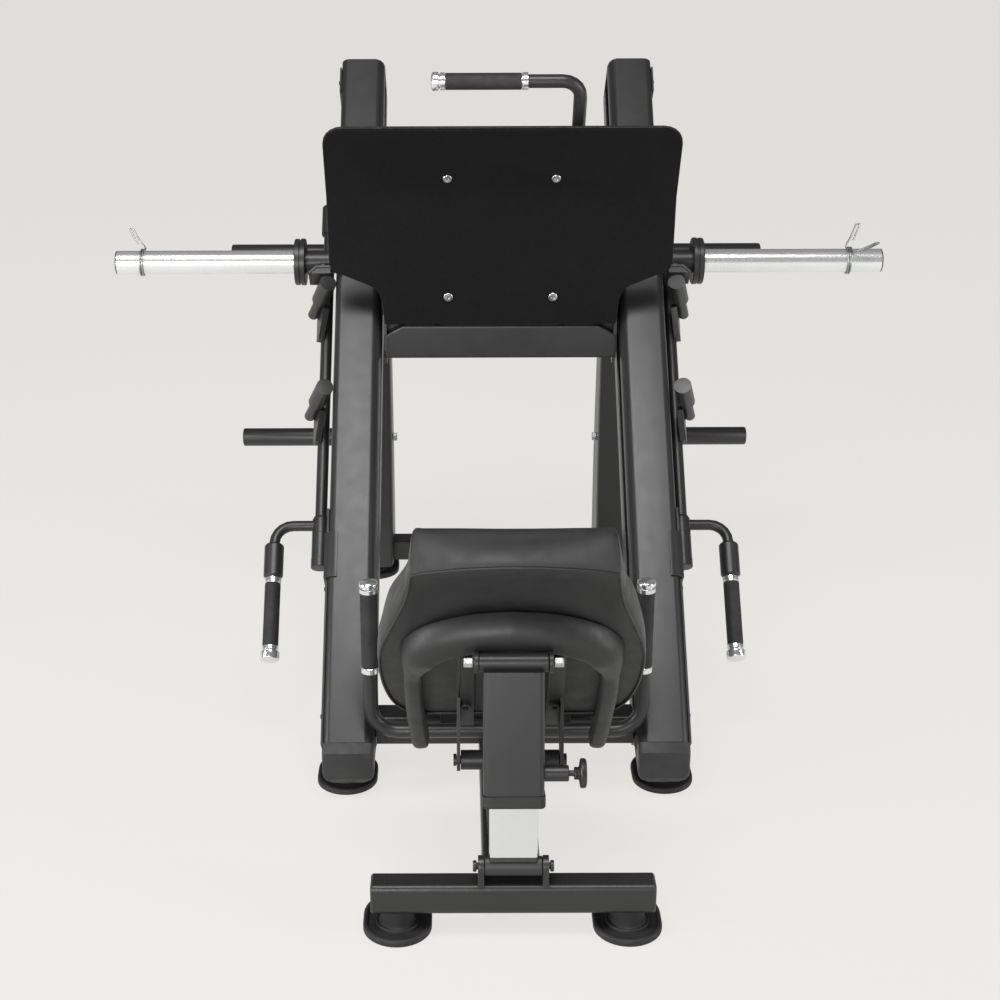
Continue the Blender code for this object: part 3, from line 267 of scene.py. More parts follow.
def turned(profile, start, direction, sides=48):
    """A lathe-turned shape from (radius, distance along the axis) pairs that begin and end on the axis."""
    direction = Vector(direction).normalized()
    across = direction.orthogonal().normalized()
    upward = direction.cross(across)
    skin = bmesh.new()
    rings = []
    for radius, along in profile:
        centre = Vector(start) + direction * along
        if radius <= 0:
            rings.append([skin.verts.new(centre)])
            continue
        angles = [2 * math.pi * step / sides for step in range(sides)]
        rings.append([skin.verts.new(centre + (across * math.cos(a) + upward * math.sin(a)) * radius)
                      for a in angles])
    for first, second in zip(rings, rings[1:]):
        for here in range(sides):
            after = (here + 1) % sides
            if len(first) == 1:
                skin.faces.new((first[0], second[after], second[here]))
            elif len(second) == 1:
                skin.faces.new((first[here], first[after], second[0]))
            else:
                skin.faces.new((first[here], first[after], second[after], second[here]))
    return skin


def make_piece(name, shapes, material, body, stands_for=(), crease=35.0):
    """One object from one or more shapes, shaded smooth up to a crease angle, riding on its body."""
    mesh = bpy.data.meshes.new(name)
    whole = bmesh.new()
    for shape in shapes:
        bmesh.ops.recalc_face_normals(shape, faces=shape.faces)
        step = bpy.data.meshes.new("step")
        shape.to_mesh(step)
        shape.free()
        whole.from_mesh(step)
        bpy.data.meshes.remove(step)
    whole.to_mesh(mesh)
    whole.free()
    piece = bpy.data.objects.new(name, mesh)
    bpy.context.scene.collection.objects.link(piece)
    for polygon in mesh.polygons:
        polygon.use_smooth = True
    mesh.set_sharp_from_angle(angle=math.radians(crease))
    mesh.materials.append(material)
    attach(piece, body)
    if stands_for:
        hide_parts(*stands_for)
    return piece


def oblong(centre_x, front_y, straight, radius, z):
    """A ring with round ends and straight sides; front_y is the middle of its front end."""
    ring = []
    for step in range(FOOT_SIDES + 1):
        angle = math.pi + math.pi * step / FOOT_SIDES
        ring.append((centre_x + radius * math.cos(angle), front_y + radius * math.sin(angle), z))
    for step in range(FOOT_SIDES + 1):
        angle = math.pi * step / FOOT_SIDES
        ring.append((centre_x + radius * math.cos(angle), front_y + straight + radius * math.sin(angle), z))
    return ring


def foot_shapes(centre_x, front_y, straight, radius, top):
    levels = ((radius - 0.0012, 0.0), (radius, 0.0012), (radius, PAD_THICK - 0.0040),
              (radius - 0.0010, PAD_THICK - 0.0016),
              (radius - 0.0035, PAD_THICK), (radius - 0.0065, PAD_THICK),
              (radius - 0.0085, PAD_THICK - 0.0016),
              (radius - 0.0095, PAD_THICK - 0.0030), (radius * 0.66, PAD_THICK - 0.0024))
    pad = lofted([oblong(centre_x, front_y, straight, ring, z) for ring, z in levels])
    cup = turned([(0, 0.004), (0.0372, 0.004), (0.0372, 0.0118), (0.0362, 0.0134), (0.0345, 0.0140),
                  (0.0325, 0.0134),
                  (0.0305, 0.0150), (0.0292, 0.0200), (0.0288, top), (0, top)],
                 (centre_x, front_y + straight * 0.2, 0), (0, 0, 1))
    return [pad, cup]


foot_rubber = worn_rubber("foot_rubber_black")
boot_rubber = worn_rubber("boot_rubber_grey", BOOT_GREY, 0.50, 600.0)
for side_name, side in SIDES:
    for part in ("rear_foot", "front_foot"):
        low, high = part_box(f"{side_name}_{part}")
        radius = (high.x - low.x) / 2
        shapes = foot_shapes((low.x + high.x) / 2, low.y + radius, high.y - low.y - 2 * radius, radius,
                             high.z)
        make_piece(f"{side_name}_{part}_rubber", shapes, foot_rubber, "frame", [f"{side_name}_{part}"])

BOOT_HALF = 0.0490
BOOT_MIDDLE = 0.2985
BOOT_EDGE = 0.0085
BOOT_SOLE = 0.0352
FOOT_UNDER_COLUMN = 0.3050
FOOT_RADIUS = 0.058
FOOT_STRAIGHT = 0.034
FOOT_TOP = 0.0400
RECLINE = Vector(joints["recline"]["pos_m"])
COLUMN_START = Vector((0, RECLINE.y + 0.2060, 0.1060))
FOOT_FRONT = RECLINE.y + 0.2785
SLOPE = Vector(joints["carriage_slide"]["axis"]).normalized()
SLOPE_OUT = Vector((0, -SLOPE.z, SLOPE.y))


def boot_outline():
    """Side outline of a boot, as (y, z), starting at its upper front edge."""
    upper_front = ((0.0142, 0.0006), (-0.0070, 0.0006))
    upper_back = ((0.0462, -0.1498), (0.0497, -0.1498), (0.0497, -0.0702), (0.0142, -0.0702))
    front = [COLUMN_START + SLOPE * along + SLOPE_OUT * out for along, out in upper_front]
    back = [COLUMN_START + SLOPE * along + SLOPE_OUT * out for along, out in upper_back]
    sole = [Vector((0, COLUMN_START.y - 0.0054, 0.0480)), Vector((0, COLUMN_START.y + 0.0020, BOOT_SOLE))]
    corners = [(point.y, point.z) for point in front + sole + back]
    fine = []
    for here, corner in enumerate(corners):
        after = corners[(here + 1) % len(corners)]
        pieces = max(2, int(math.dist(corner, after) / 0.006))
        for step in range(pieces):
            share = step / pieces
            fine.append((corner[0] + (after[0] - corner[0]) * share,
                         corner[1] + (after[1] - corner[1]) * share))
    return fine


for side_name, side in SIDES:
    outline = boot_outline()
    centre_y = sum(point[0] for point in outline) / len(outline)
    centre_z = sum(point[1] for point in outline) / len(outline)
    rings = []
    for step in range(13):
        turn = math.pi * (step / 12 - 0.5)
        flat_half = math.copysign(BOOT_HALF - BOOT_EDGE, step - 6.5)
        reach = flat_half + BOOT_EDGE * math.sin(turn)
        tuck = BOOT_EDGE * (1 - math.cos(turn))
        ring = []
        for y, z in outline:
            away = Vector((y - centre_y, z - centre_z))
            pulled = away * max(0.0, 1 - tuck / max(away.length, 0.02))
            depth_left = max(0.0, BOOT_SOLE + BOOT_ROUND - z)
            narrow = BOOT_ROUND - math.sqrt(max(0.0, BOOT_ROUND ** 2 - depth_left ** 2))
            share = (BOOT_HALF - narrow * 0.8) / BOOT_HALF
            ring.append((side * BOOT_MIDDLE + reach * share, centre_y + pulled.x, centre_z + pulled.y))
        rings.append(ring)
    boot = lofted(rings)
    shapes = foot_shapes(side * FOOT_UNDER_COLUMN, FOOT_FRONT, FOOT_STRAIGHT, FOOT_RADIUS, FOOT_TOP)
    make_piece(f"{side_name}_column_foot_rubber", shapes, foot_rubber, "frame")
    make_piece(f"{side_name}_column_boot", [boot], boot_rubber, "frame", [f"{side_name}_column_foot"],
               40.0)

# ----------------------------------------------------------------------------------------------------------
# Storage pegs for spare plates: turned steel bars in the frame's coat, with a chamfered nose, a shoulder that
# stops on the leg and a zinc-plated nut on the inside.

ZINC = (0.55, 0.56, 0.57)
ZINC_DULL = (0.40, 0.41, 0.42)


def zinc_plate(name):
    material, tree, shader = start_material(name, ZINC, 0.30, 1.0)
    tree.links.new(spread(tree, grain(tree, 300.0, 4.0), 0.3, 0.7, 0.22, 0.40), shader.inputs["Roughness"])
    tree.links.new(two_tone(tree, spread(tree, grain(tree, 90.0), 0.35, 0.7, 0.0, 1.0), ZINC, ZINC_DULL),
                   shader.inputs["Base Color"])
    relief(tree, shader, grain(tree, 900.0), 0.00005, 0.5)
    return material


def axis_of(node, direction):
    """Where a turned node starts, its length and its radius, along a direction."""
    direction = Vector(direction).normalized()
    across = direction.orthogonal().normalized()
    upward = direction.cross(across)
    spans = []
    for axis in (direction, across, upward):
        reaches = [vertex.co.dot(axis) for vertex in nodes[node].data.vertices]
        spans.append((min(reaches), max(reaches)))
    middle = across * sum(spans[1]) / 2 + upward * sum(spans[2]) / 2
    return middle + direction * spans[0][0], spans[0][1] - spans[0][0], (spans[1][1] - spans[1][0]) / 2


def hexagon(start, direction, radius, thick):
    rim = radius * 0.94
    return turned([(0, 0), (rim, 0), (radius, thick * 0.12), (radius, thick * 0.88), (rim, thick),
                   (0, thick)],
                  start, direction, 6)


zinc = zinc_plate("zinc_plated_fixings")
for side_name, side in SIDES:
    for level in ("lower", "upper"):
        node = f"{side_name}_{level}_storage_peg"
        start, length, radius = axis_of(node, (side, 0, 0))
        body = turned([(0, 0.008), (0.0060, 0.008), (0.0060, 0.1050), (radius - 0.0012, 0.1051),
                       (radius, 0.1062),
                       (radius, length - 0.0035), (radius - 0.0012, length - 0.0012),
                       (radius - 0.0035, length), (0, length)],
                      start, (side, 0, 0))
        make_piece(node + "_bar", [body], frame_coat, "frame", [node])
        nut = hexagon(start, (side, 0, 0), 0.0105, 0.0098)
        make_piece(node + "_nut", [nut], zinc, "frame", (), 20.0)

# ----------------------------------------------------------------------------------------------------------
# Hand grips: each is a plain rubber sleeve held between two chrome rings, closed by a domed chrome cap with a
# groove under it. Two stand on the seat's bent bar, two hang on the safety levers and one is on the sled.

CHROME = (0.80, 0.81, 0.82)
GRIP_BLACK = (0.0100, 0.0100, 0.0104)
RING_LONG = 0.0122
RING_RADIUS = 0.0170
RIB_PITCH = 0.0022
RIB_DEEP = 0.00012

GRIPS = [("left_seat_handle", (0, 0, 1), "frame"), ("right_seat_handle", (0, 0, 1), "frame"),
         ("left_lever", tuple(-SLOPE), "left_safety"), ("right_lever", tuple(-SLOPE), "right_safety"),
         ("sled_handle", (-1, 0, 0), "carriage")]

grip_chrome = bright_plate("grip_chrome", CHROME, 0.16, (1.0, 1.0, 1.0), 0.88)
grip_rubber = worn_rubber("grip_rubber_black", GRIP_BLACK, 0.70, 1200.0)
for name, direction, body in GRIPS:
    start, length, cap = axis_of(name + "_chrome", direction)
    sleeve_start, sleeve, sleeve_radius = axis_of(name + "_grip", direction)
    near = RING_LONG
    far = near + sleeve + 0.0008
    ring = RING_RADIUS
    profile = [(0, 0), (ring - 0.0012, 0), (ring, 0.0010), (ring, near - 0.0030),
               (ring - 0.0005, near - 0.0024),
               (ring - 0.0005, near - 0.0018), (ring, near - 0.0012), (ring, near - 0.0006),
               (ring - 0.0008, near),
               (0.0118, near), (0.0118, far), (ring - 0.0008, far), (ring, far + 0.0008),
               (ring, far + 0.0082),
               (ring - 0.0009, far + 0.0092), (0.0141, far + 0.0096), (0.0139, far + 0.0118),
               (cap - 0.0012, far + 0.0122),
               (cap, far + 0.0132), (cap, length - 0.0052), (cap - 0.0006, length - 0.0040),
               (cap - 0.0022, length - 0.0026),
               (cap * 0.70, length - 0.0012), (cap * 0.35, length - 0.0002), (0, length)]
    make_piece(name + "_chrome_ends", [turned(profile, start, direction)], grip_chrome, body,
               [name + "_chrome"],
               28.0)
    ribs = [(0, 0.0002), (sleeve_radius - 0.0010, 0.0002), (sleeve_radius - 0.0002, 0.0010)]
    count = int((sleeve - 0.006) / RIB_PITCH)
    for rib in range(count):
        at = 0.0030 + rib * RIB_PITCH
        ribs += [(sleeve_radius, at), (sleeve_radius, at + RIB_PITCH * 0.60),
                 (sleeve_radius - RIB_DEEP, at + RIB_PITCH * 0.75),
                 (sleeve_radius - RIB_DEEP, at + RIB_PITCH * 0.85)]
    ribs += [(sleeve_radius, sleeve - 0.0025), (sleeve_radius - 0.0008, sleeve - 0.0003),
             (0, sleeve - 0.0002)]
    make_piece(name + "_rubber_sleeve", [turned(ribs, sleeve_start, direction, 40)], grip_rubber, body,
               [name + "_grip"],
               50.0)

# ----------------------------------------------------------------------------------------------------------
# The footplate: a bent steel sheet in the frame's coat with a finely pebbled rubber mat bonded on it, held by
# four countersunk socket screws.

MAT_BLACK = (0.0032, 0.0032, 0.0034)


def cells(tree, scale, feature="DISTANCE_TO_EDGE"):
    """Small closed cells, as in leather grain or a pebbled mat."""
    place = tree.nodes.new("ShaderNodeTexCoord")
    texture = tree.nodes.new("ShaderNodeTexVoronoi")
    texture.feature = feature
    texture.inputs["Scale"].default_value = scale
    tree.links.new(place.outputs["Object"], texture.inputs["Vector"])
    return texture.outputs["Distance"]


def pebbled_mat(name):
    material, tree, shader = start_material(name, MAT_BLACK, 0.66)
    pebbles = cells(tree, 420.0)
    scuffed = tuple(channel * 1.3 for channel in MAT_BLACK)
    tree.links.new(two_tone(tree, spread(tree, grain(tree, 11.0, 6.0), 0.45, 0.78, 0.0, 1.0), MAT_BLACK,
                            scuffed),
                   shader.inputs["Base Color"])
    tree.links.new(spread(tree, grain(tree, 80.0), 0.3, 0.7, 0.58, 0.74), shader.inputs["Roughness"])
    shader.inputs["Specular IOR Level"].default_value = 0.15
    relief(tree, shader, spread(tree, pebbles, 0.0, 0.25, 0.0, 1.0), 0.00025, 0.6)
    return material


mat_rubber = pebbled_mat("footplate_mat_rubber")
dress("footplate_mat", mat_rubber, 0.0010)
dress("footplate_steel", frame_coat, 0.0010)
for side_name, side in SIDES:
    for level, inward in (("lower", (0, 0.9925, 0.1219)), ("upper", (0, 0.8829, 0.4695))):
        node = f"{side_name}_{level}_plate_bolt"
        start, length, radius = axis_of(node, inward)
        head = turned([(0, 0.0026), (0.0030, 0.0026), (0.0034, 0.0008), (0.0042, 0.0004), (0.0082, 0.0007),
                       (0.0092, 0.0016),
                       (0.0092, 0.0038), (0.0044, 0.0040), (0.0044, 0.0165), (0.0080, 0.0168),
                       (0.0080, length), (0, length)],
                      start, inward, 32)
        make_piece(node + "_screw", [head], zinc, "carriage", [node], 25.0)

# ----------------------------------------------------------------------------------------------------------
# Plate sleeves: thick-walled tube, ground and hard-chromed, pushed over the sled's horns and closed by a
# black moulded cap. A spring collar of plated wire sits on each, with two hairpin finger loops.

CAP_BLACK = (0.010, 0.010, 0.011)
WIRE = 0.0019
WIRE_SIDES = 12
COIL_PITCH = 0.0050
LOOPS = {"left": (116.0, 1.767, 0.026, 0.026), "right": (88.0, 2.10, 0.018, 0.036)}

sleeve_chrome = bright_plate("sleeve_chrome", (0.88, 0.885, 0.89), 0.22, (12.0, 1.0, 1.0), 0.82)
wire_plate = bright_plate("collar_wire_plate", (0.34, 0.345, 0.35), 0.34, (0.2, 0.2, 0.2), 0.85)
cap_black = matt_black("sleeve_cap_black", CAP_BLACK, 0.42)


def drawn_wire(path, radius, sides=WIRE_SIDES):
    """A round bar or wire along points, with closed ends."""
    rings = []
    heading = (path[1] - path[0]).normalized()
    across = heading.orthogonal().normalized()
    for here, point in enumerate(path):
        before = path[max(here - 1, 0)]
        after = path[min(here + 1, len(path) - 1)]
        heading = (after - before).normalized()
        across = (across - heading * across.dot(heading)).normalized()
        upward = heading.cross(across)
        angles = [2 * math.pi * step / sides for step in range(sides)]
        rings.append([point + (across * math.cos(a) + upward * math.sin(a)) * radius for a in angles])
    return lofted(rings)


def eased(points, steps):
    """A smooth curve through points, of any dimension."""
    result = []
    last = len(points) - 1
    for here in range(last):
        p0, p1, p2, p3 = (Vector(points[max(0, min(last, here + k))]) for k in (-1, 0, 1, 2))
        for step in range(steps):
            t = step / steps
            result.append(0.5 * (2 * p1 + (p2 - p0) * t + (2 * p0 - 5 * p1 + 4 * p2 - p3) * t * t
                                 + (3 * p1 - p0 - 3 * p2 + p3) * t ** 3))
    result.append(Vector(points[-1]))
    return result


for side_name, side in SIDES:
    outward = (side, 0, 0)
    node = f"{side_name}_horn_sleeve"
    start, length, radius = axis_of(node, outward)
    sleeve = turned([(0, 0), (radius - 0.0008, 0), (radius, 0.0008), (radius, length - 0.0030),
                     (radius - 0.0006, length - 0.0024),
                     (0, length - 0.0024)], start, outward, 72)
    make_piece(node + "_tube", [sleeve], sleeve_chrome, "carriage", [node])
    cap = turned([(0, length - 0.0040), (radius - 0.0010, length - 0.0040),
                  (radius - 0.0001, length - 0.0023),
                  (radius - 0.0003, length - 0.0008), (radius - 0.0020, length), (0, length)], start,
                  outward, 72)
    make_piece(node + "_cap", [cap], cap_black, "carriage", ())

    node = f"{side_name}_spring_clip"
    low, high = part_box(node)
    inner_x = (low.x if side > 0 else -high.x) + WIRE
    coil = radius + WIRE + 0.0007
    hub = Vector((side * inner_x, start.y, start.z))

    def wire_point(degrees, reach, along):
        angle = math.radians(degrees)
        return hub + Vector((side * along, -reach * math.cos(angle), reach * math.sin(angle)))

    def hairpin(degrees, along, lean, way):
        """Out along one leg, round the tip and part of the way back beside it."""
        tall = 0.046
        turn = degrees + way * 10
        tip = coil + tall
        marks = [(degrees + way * 6, coil + 0.006, along), (degrees + way * 9, coil + 0.5 * tall,
                                                            along + 0.5 * lean),
                 (turn, tip, along + lean), (turn, tip + 0.0035, along + lean + 0.0025),
                 (turn, tip + 0.0040, along + lean + 0.0055), (turn, tip + 0.0015, along + lean + 0.0085),
                 (turn, coil + 0.55 * tall, along + 0.55 * lean + 0.0085),
                 (turn, coil + 0.33 * tall, along + 0.33 * lean + 0.0085)]
        return [wire_point(*mark) for mark in marks]

    first, turns, first_lean, last_lean = LOOPS[side_name]
    path = list(reversed(hairpin(first, 0.0, first_lean, 1)))
    for step in range(49):
        path.append(wire_point(first - 360 * turns * step / 48, coil, COIL_PITCH * turns * step / 48))
    path += hairpin(first - 360 * turns, COIL_PITCH * turns, last_lean, -1)
    make_piece(node + "_wire", [drawn_wire(eased(path, 3), WIRE)], wire_plate, f"{side_name}_clip", [node],
               60.0)

# ----------------------------------------------------------------------------------------------------------
# Seat and backrest pads: moulded foam on a plywood board, pulled into smooth grey upholstery that is stapled
# under a piped seam. The sides swell between the seams and the face is crowned.

VINYL_GREY = (0.0115, 0.0115, 0.0118)
PIPING = (0.0050, 0.0050, 0.0052)
FOAM_PRESSURE = 3.5
FOAM_FRAMES = 16
PIPE_RADIUS = 0.0024


def smooth_vinyl(name, colour, rough=0.50):
    material, tree, shader = start_material(name, colour, rough)
    shader.inputs["Sheen Weight"].default_value = 0.04
    shader.inputs["Sheen Roughness"].default_value = 0.5
    worn = tuple(channel * 1.25 for channel in colour)
    tree.links.new(two_tone(tree, spread(tree, grain(tree, 8.0, 4.0), 0.3, 0.7, 0.0, 1.0), colour, worn),
                   shader.inputs["Base Color"])
    tree.links.new(spread(tree, grain(tree, 45.0, 4.0), 0.3, 0.7, rough - 0.07, rough + 0.10),
                   shader.inputs["Roughness"])
    relief(tree, shader, spread(tree, cells(tree, 620.0), 0.0, 0.22, 0.0, 1.0), 0.00022, 0.45)
    relief(tree, shader, grain(tree, 28.0, 2.0), 0.0012, 0.18)
    return material


def puff(piece, held, most):
    """Blows the upholstery up against its seams; held points stay and no point moves further than most."""
    rest = [vertex.co.copy() for vertex in piece.data.vertices]
    seam = piece.vertex_groups.new(name="seam")
    seam.add(held, 1.0, "REPLACE")
    cloth = piece.modifiers.new("foam", "CLOTH")
    cloth.settings.vertex_group_mass = "seam"
    cloth.settings.use_pressure = True
    cloth.settings.uniform_pressure_force = FOAM_PRESSURE
    cloth.settings.effector_weights.gravity = 0.0
    cloth.settings.quality = 6
    scene = bpy.context.scene
    for step in range(1, FOAM_FRAMES + 1):
        scene.frame_set(step)
    graph = bpy.context.evaluated_depsgraph_get()
    blown = piece.evaluated_get(graph).to_mesh()
    moved = [vertex.co.copy() for vertex in blown.vertices]
    piece.evaluated_get(graph).to_mesh_clear()
    piece.modifiers.remove(cloth)
    for vertex, old, new in zip(piece.data.vertices, rest, moved):
        step = new - old
        if step.length > most:
            step *= most / step.length
        vertex.co = old + step
    scene.frame_set(1)


def pad_skin(outline, centre, place, levels, face_shares, back_dish, face_crown):
    """A pad as one closed skin: back face, side wall through its levels, then the crowned front face."""
    rings = []
    for share in reversed(face_shares):
        rings.append([place(centre[0] + (a - centre[0]) * share, centre[1] + (b - centre[1]) * share,
                            levels[0][0] + back_dish(centre[0] + (a - centre[0]) * share,
                                                     centre[1] + (b - centre[1]) * share)) for a,
                                                     b in outline])
    seam_ring = len(rings)
    for out, grow in levels:
        ring = []
        for a, b in outline:
            away = Vector((a - centre[0], b - centre[1]))
            away *= 1 + grow / away.length
            dish = back_dish(a, b) * max(0.0, 1 - (levels[0][0] - out) / 0.03)
            ring.append(place(centre[0] + away.x, centre[1] + away.y, out + dish))
        rings.append(ring)
    for share in face_shares:
        last_out, last_grow = levels[-1]
        ring = []
        for a, b in outline:
            away = Vector((a - centre[0], b - centre[1]))
            away *= (1 + last_grow / away.length) * share
            ring.append(place(centre[0] + away.x, centre[1] + away.y,
                              last_out - face_crown * (1 - share ** 2.5)))
        rings.append(ring)
    return lofted(rings), seam_ring, len(outline)


vinyl = smooth_vinyl("pad_vinyl_grey", VINYL_GREY)
piping = smooth_vinyl("pad_piping_black", PIPING, 0.42)
FACE_SHARES = (0.975, 0.93, 0.86, 0.76, 0.64, 0.50, 0.36, 0.22, 0.10)

PAD_TILT = math.radians(30.08)
PAD_HIGH = -0.0090
PAD_TOP = RECLINE + Vector((0, -0.172, 0.438))
PAD_DOWN = Vector((0, math.sin(PAD_TILT), -math.cos(PAD_TILT)))
PAD_BACK = Vector((0, -math.cos(PAD_TILT), -math.sin(PAD_TILT)))


def pad_point(across, down, out):
    return PAD_TOP + Vector((across, 0, 0)) + PAD_DOWN * down + PAD_BACK * out


def backrest_point(across, down, out):
    """Drops the corners of the rear seam, so that it is arched, and swells the waist towards the user."""
    share = min(1.0, max(0.0, -out / 0.068))
    arch = 0.015 * (1 - share) * min(1.0, (across / 0.16) ** 2) * max(0.0, 1 - down / 0.08)
    swell = 0.010 * share * math.exp(-((down - 0.150) / 0.055) ** 2) * min(1.0, abs(across) / 0.15)
    return pad_point(across + math.copysign(swell, across), down + arch, out)


def pear_outline():
    """Backrest outline: narrow square shoulders, a waist and a wide round lower half."""
    right = eased([(0.1500, PAD_HIGH), (0.1625, PAD_HIGH + 0.0020), (0.1675, PAD_HIGH + 0.0100),
                   (0.1715, 0.0400),
                   (0.1800, 0.0900), (0.2040, 0.1620), (0.2205, 0.2150), (0.2258, 0.2640), (0.2210, 0.3300),
                   (0.2050, 0.3870), (0.1780, 0.4170), (0.1450, 0.4250)], 6)
    right = [(point.x, point.y) for point in right]
    top = [(0.1500 * (1 - 2 * step / 20), PAD_HIGH) for step in range(20, 0, -1)]
    bottom = [(0.1450 * (1 - 2 * step / 20), 0.4250) for step in range(1, 20)]
    left = [(-a, b) for a, b in reversed(right)]
    return right + bottom + left + top[1:]


def back_hollow(across, down):
    """Under its seam the back panel is scooped out between the shoulders, and comes flat again lower down."""
    waist = max(0.0, 1 - (across / 0.170) ** 4)
    return -0.020 * waist * math.sin(math.pi * min(1.0, max(0.0, (down - PAD_HIGH) / 0.170))) ** 1.2


outline = pear_outline()
wall = ((-0.0006, -0.0030), (-0.0040, 0.0), (-0.0120, 0.0008), (-0.0300, 0.0014), (-0.0500, 0.0014),
        (-0.0680, 0.0004),
        (-0.0800, -0.0022), (-0.0865, -0.0062))
skin, seam_ring, around = pad_skin(outline, (0.0, 0.225), backrest_point, wall, FACE_SHARES, back_hollow,
                                   0.004)
backrest = make_piece("backrest_upholstery", [skin], vinyl, "backrest", ["backrest_cushion"],
                      180.0)
puff(backrest, list(range((seam_ring + 1) * around)), 0.006)
seam_line = [backrest_point(a * 0.987, 0.225 + (b - 0.225) * 0.987, 0.0010 + back_hollow(a, b)) for a,
             b in outline]
make_piece("backrest_piping", [drawn_wire(seam_line + seam_line[:1], PIPE_RADIUS)], piping, "backrest", (),
           60.0)

SEAT_TILT = math.radians(15)
seat_low, seat_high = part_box("seat_cushion")
SEAT_THICK = 0.070
SEAT_CORNER = Vector((0, seat_low.y, seat_low.z + SEAT_THICK * math.cos(SEAT_TILT)))
SEAT_DEEP = 0.255
SEAT_HALF = (seat_high.x - seat_low.x) / 2


def seat_point(across, along, up):
    """As on the backrest, up is zero on the board and goes negative towards the face that is sat on."""
    rise = -SEAT_THICK - up
    return SEAT_CORNER + Vector((across, along * math.cos(SEAT_TILT) - rise * math.sin(SEAT_TILT),
                                 along * math.sin(SEAT_TILT) + rise * math.cos(SEAT_TILT)))


def round_corners(half, deep, radius, steps=8, straight=10):
    ring = []
    corners = ((half - radius, radius, -90), (half - radius, deep - radius, 0),
               (-half + radius, deep - radius, 90),
               (-half + radius, radius, 180))
    for here, (x, y, first) in enumerate(corners):
        for step in range(steps + 1):
            angle = math.radians(first + 90 * step / steps)
            ring.append((x + radius * math.cos(angle), y + radius * math.sin(angle)))
        after = corners[(here + 1) % 4]
        angle = math.radians(after[2])
        goal = (after[0] + radius * math.cos(angle), after[1] + radius * math.sin(angle))
        begin = ring[-1]
        for step in range(1, straight):
            share = step / straight
            ring.append((begin[0] + (goal[0] - begin[0]) * share, begin[1] + (goal[1] - begin[1]) * share))
    return ring


seat_outline = round_corners(SEAT_HALF, SEAT_DEEP, 0.045)
seat_wall = ((0.0, -0.0030), (-0.0060, -0.0005), (-0.0200, 0.0010), (-0.0380, 0.0), (-0.0520, -0.0050),
             (-0.0620, -0.0130))
skin, seam_ring, around = pad_skin(seat_outline, (0.0, SEAT_DEEP / 2), seat_point, seat_wall, FACE_SHARES,
                                   lambda a, b: 0.0, 0.007)
seat = make_piece("seat_upholstery", [skin], vinyl, "frame", ["seat_cushion"], 180.0)
puff(seat, list(range((seam_ring + 1) * around)), 0.004)
seat_seam = [seat_point(a, b, -0.0050) for a, b in seat_outline]
make_piece("seat_piping", [drawn_wire(seat_seam + seat_seam[:1], PIPE_RADIUS)], piping, "frame", (),
           60.0)

# ----------------------------------------------------------------------------------------------------------
# The moulding behind the backrest: one U-shaped injection moulding in grey, with a broad soft crown, a hard
# rim under it and two free arms with rounded tips that reach down past the post.

SHELL_GREY = (0.0135, 0.0135, 0.0138)


def moulded_grey(name, colour, rough=0.46):
    material, tree, shader = start_material(name, colour, rough)
    lighter = tuple(channel * 1.18 for channel in colour)
    tree.links.new(two_tone(tree, spread(tree, grain(tree, 10.0), 0.3, 0.7, 0.0, 1.0), colour, lighter),
                   shader.inputs["Base Color"])
    tree.links.new(spread(tree, grain(tree, 60.0), 0.3, 0.7, rough - 0.05, rough + 0.07),
                   shader.inputs["Roughness"])
    relief(tree, shader, cells(tree, 1300.0, "F1"), 0.0001, 0.5)
    return material


ARM_LINE = [(-0.1572, 0.5100), (-0.1635, 0.4200), (-0.1670, 0.3400), (-0.1670, 0.2800), (-0.1625, 0.2330),
            (-0.1490, 0.1970),
            (-0.1180, 0.1700), (-0.0620, 0.1490), (0.0, 0.1420)]
left_arm = eased(ARM_LINE, 8)
shell_line = left_arm + [Vector((-point.x, point.y)) for point in reversed(left_arm[:-1])]
SOFT_BAND = ((1.12, 0.01), (1.08, 0.14), (0.96, 0.38), (0.72, 0.66), (0.40, 0.86), (0.0, 0.96),
             (-0.45, 1.0), (-0.86, 0.99),
             (-0.97, 0.93), (-1.0, 0.80), (-1.0, 0.42), (-1.0, 0.02))
ROUND_BAR = ((1.00, 0.01), (1.00, 0.30), (0.97, 0.58), (0.84, 0.80), (0.55, 0.94), (0.15, 1.0),
             (-0.30, 1.0), (-0.70, 0.95),
             (-0.93, 0.82), (-1.0, 0.62), (-1.0, 0.32), (-1.0, 0.02))
rings = []
for here, spot in enumerate(shell_line):
    heading = (shell_line[min(here + 1, len(shell_line) - 1)] - shell_line[max(here - 1, 0)]).normalized()
    outside = Vector((heading.y, -heading.x))
    crown = min(1.0, max(0.0, (0.285 - spot.y) / 0.085))
    crown = crown * crown * (3 - 2 * crown)
    width = 0.0160 + 0.0110 * crown
    height = 0.026 + 0.016 * crown
    section = eased([Vector(bar).lerp(Vector(band), crown) for bar, band in zip(ROUND_BAR, SOFT_BAND)], 3)
    from_tip = min(here, len(shell_line) - 1 - here)
    taper = math.sqrt(min(1.0, (from_tip + 0.35) / 2.4) * (2 - min(1.0, (from_tip + 0.35) / 2.4)))
    rings.append([pad_point(spot.x + outside.x * across * width * taper,
                            spot.y + outside.y * across * width * taper,
                            0.0012 + up * height * (0.5 + 0.5 * taper)) for across, up in section])
shell_grey = moulded_grey("rear_moulding_grey", SHELL_GREY)
make_piece("backrest_rear_moulding", [lofted(rings)], shell_grey, "backrest", ["backrest_shell"],
           50.0)

# ----------------------------------------------------------------------------------------------------------
# Strip bolts of the backrest: four socket-head bolts with a black oxide finish. They pass through the two
# welded strips into the board inside the pad.

STRIP_BOLTS = (0.236, 0.385)
STRIP_MIDDLE = 0.0775
STRIP_FACE = 0.0058

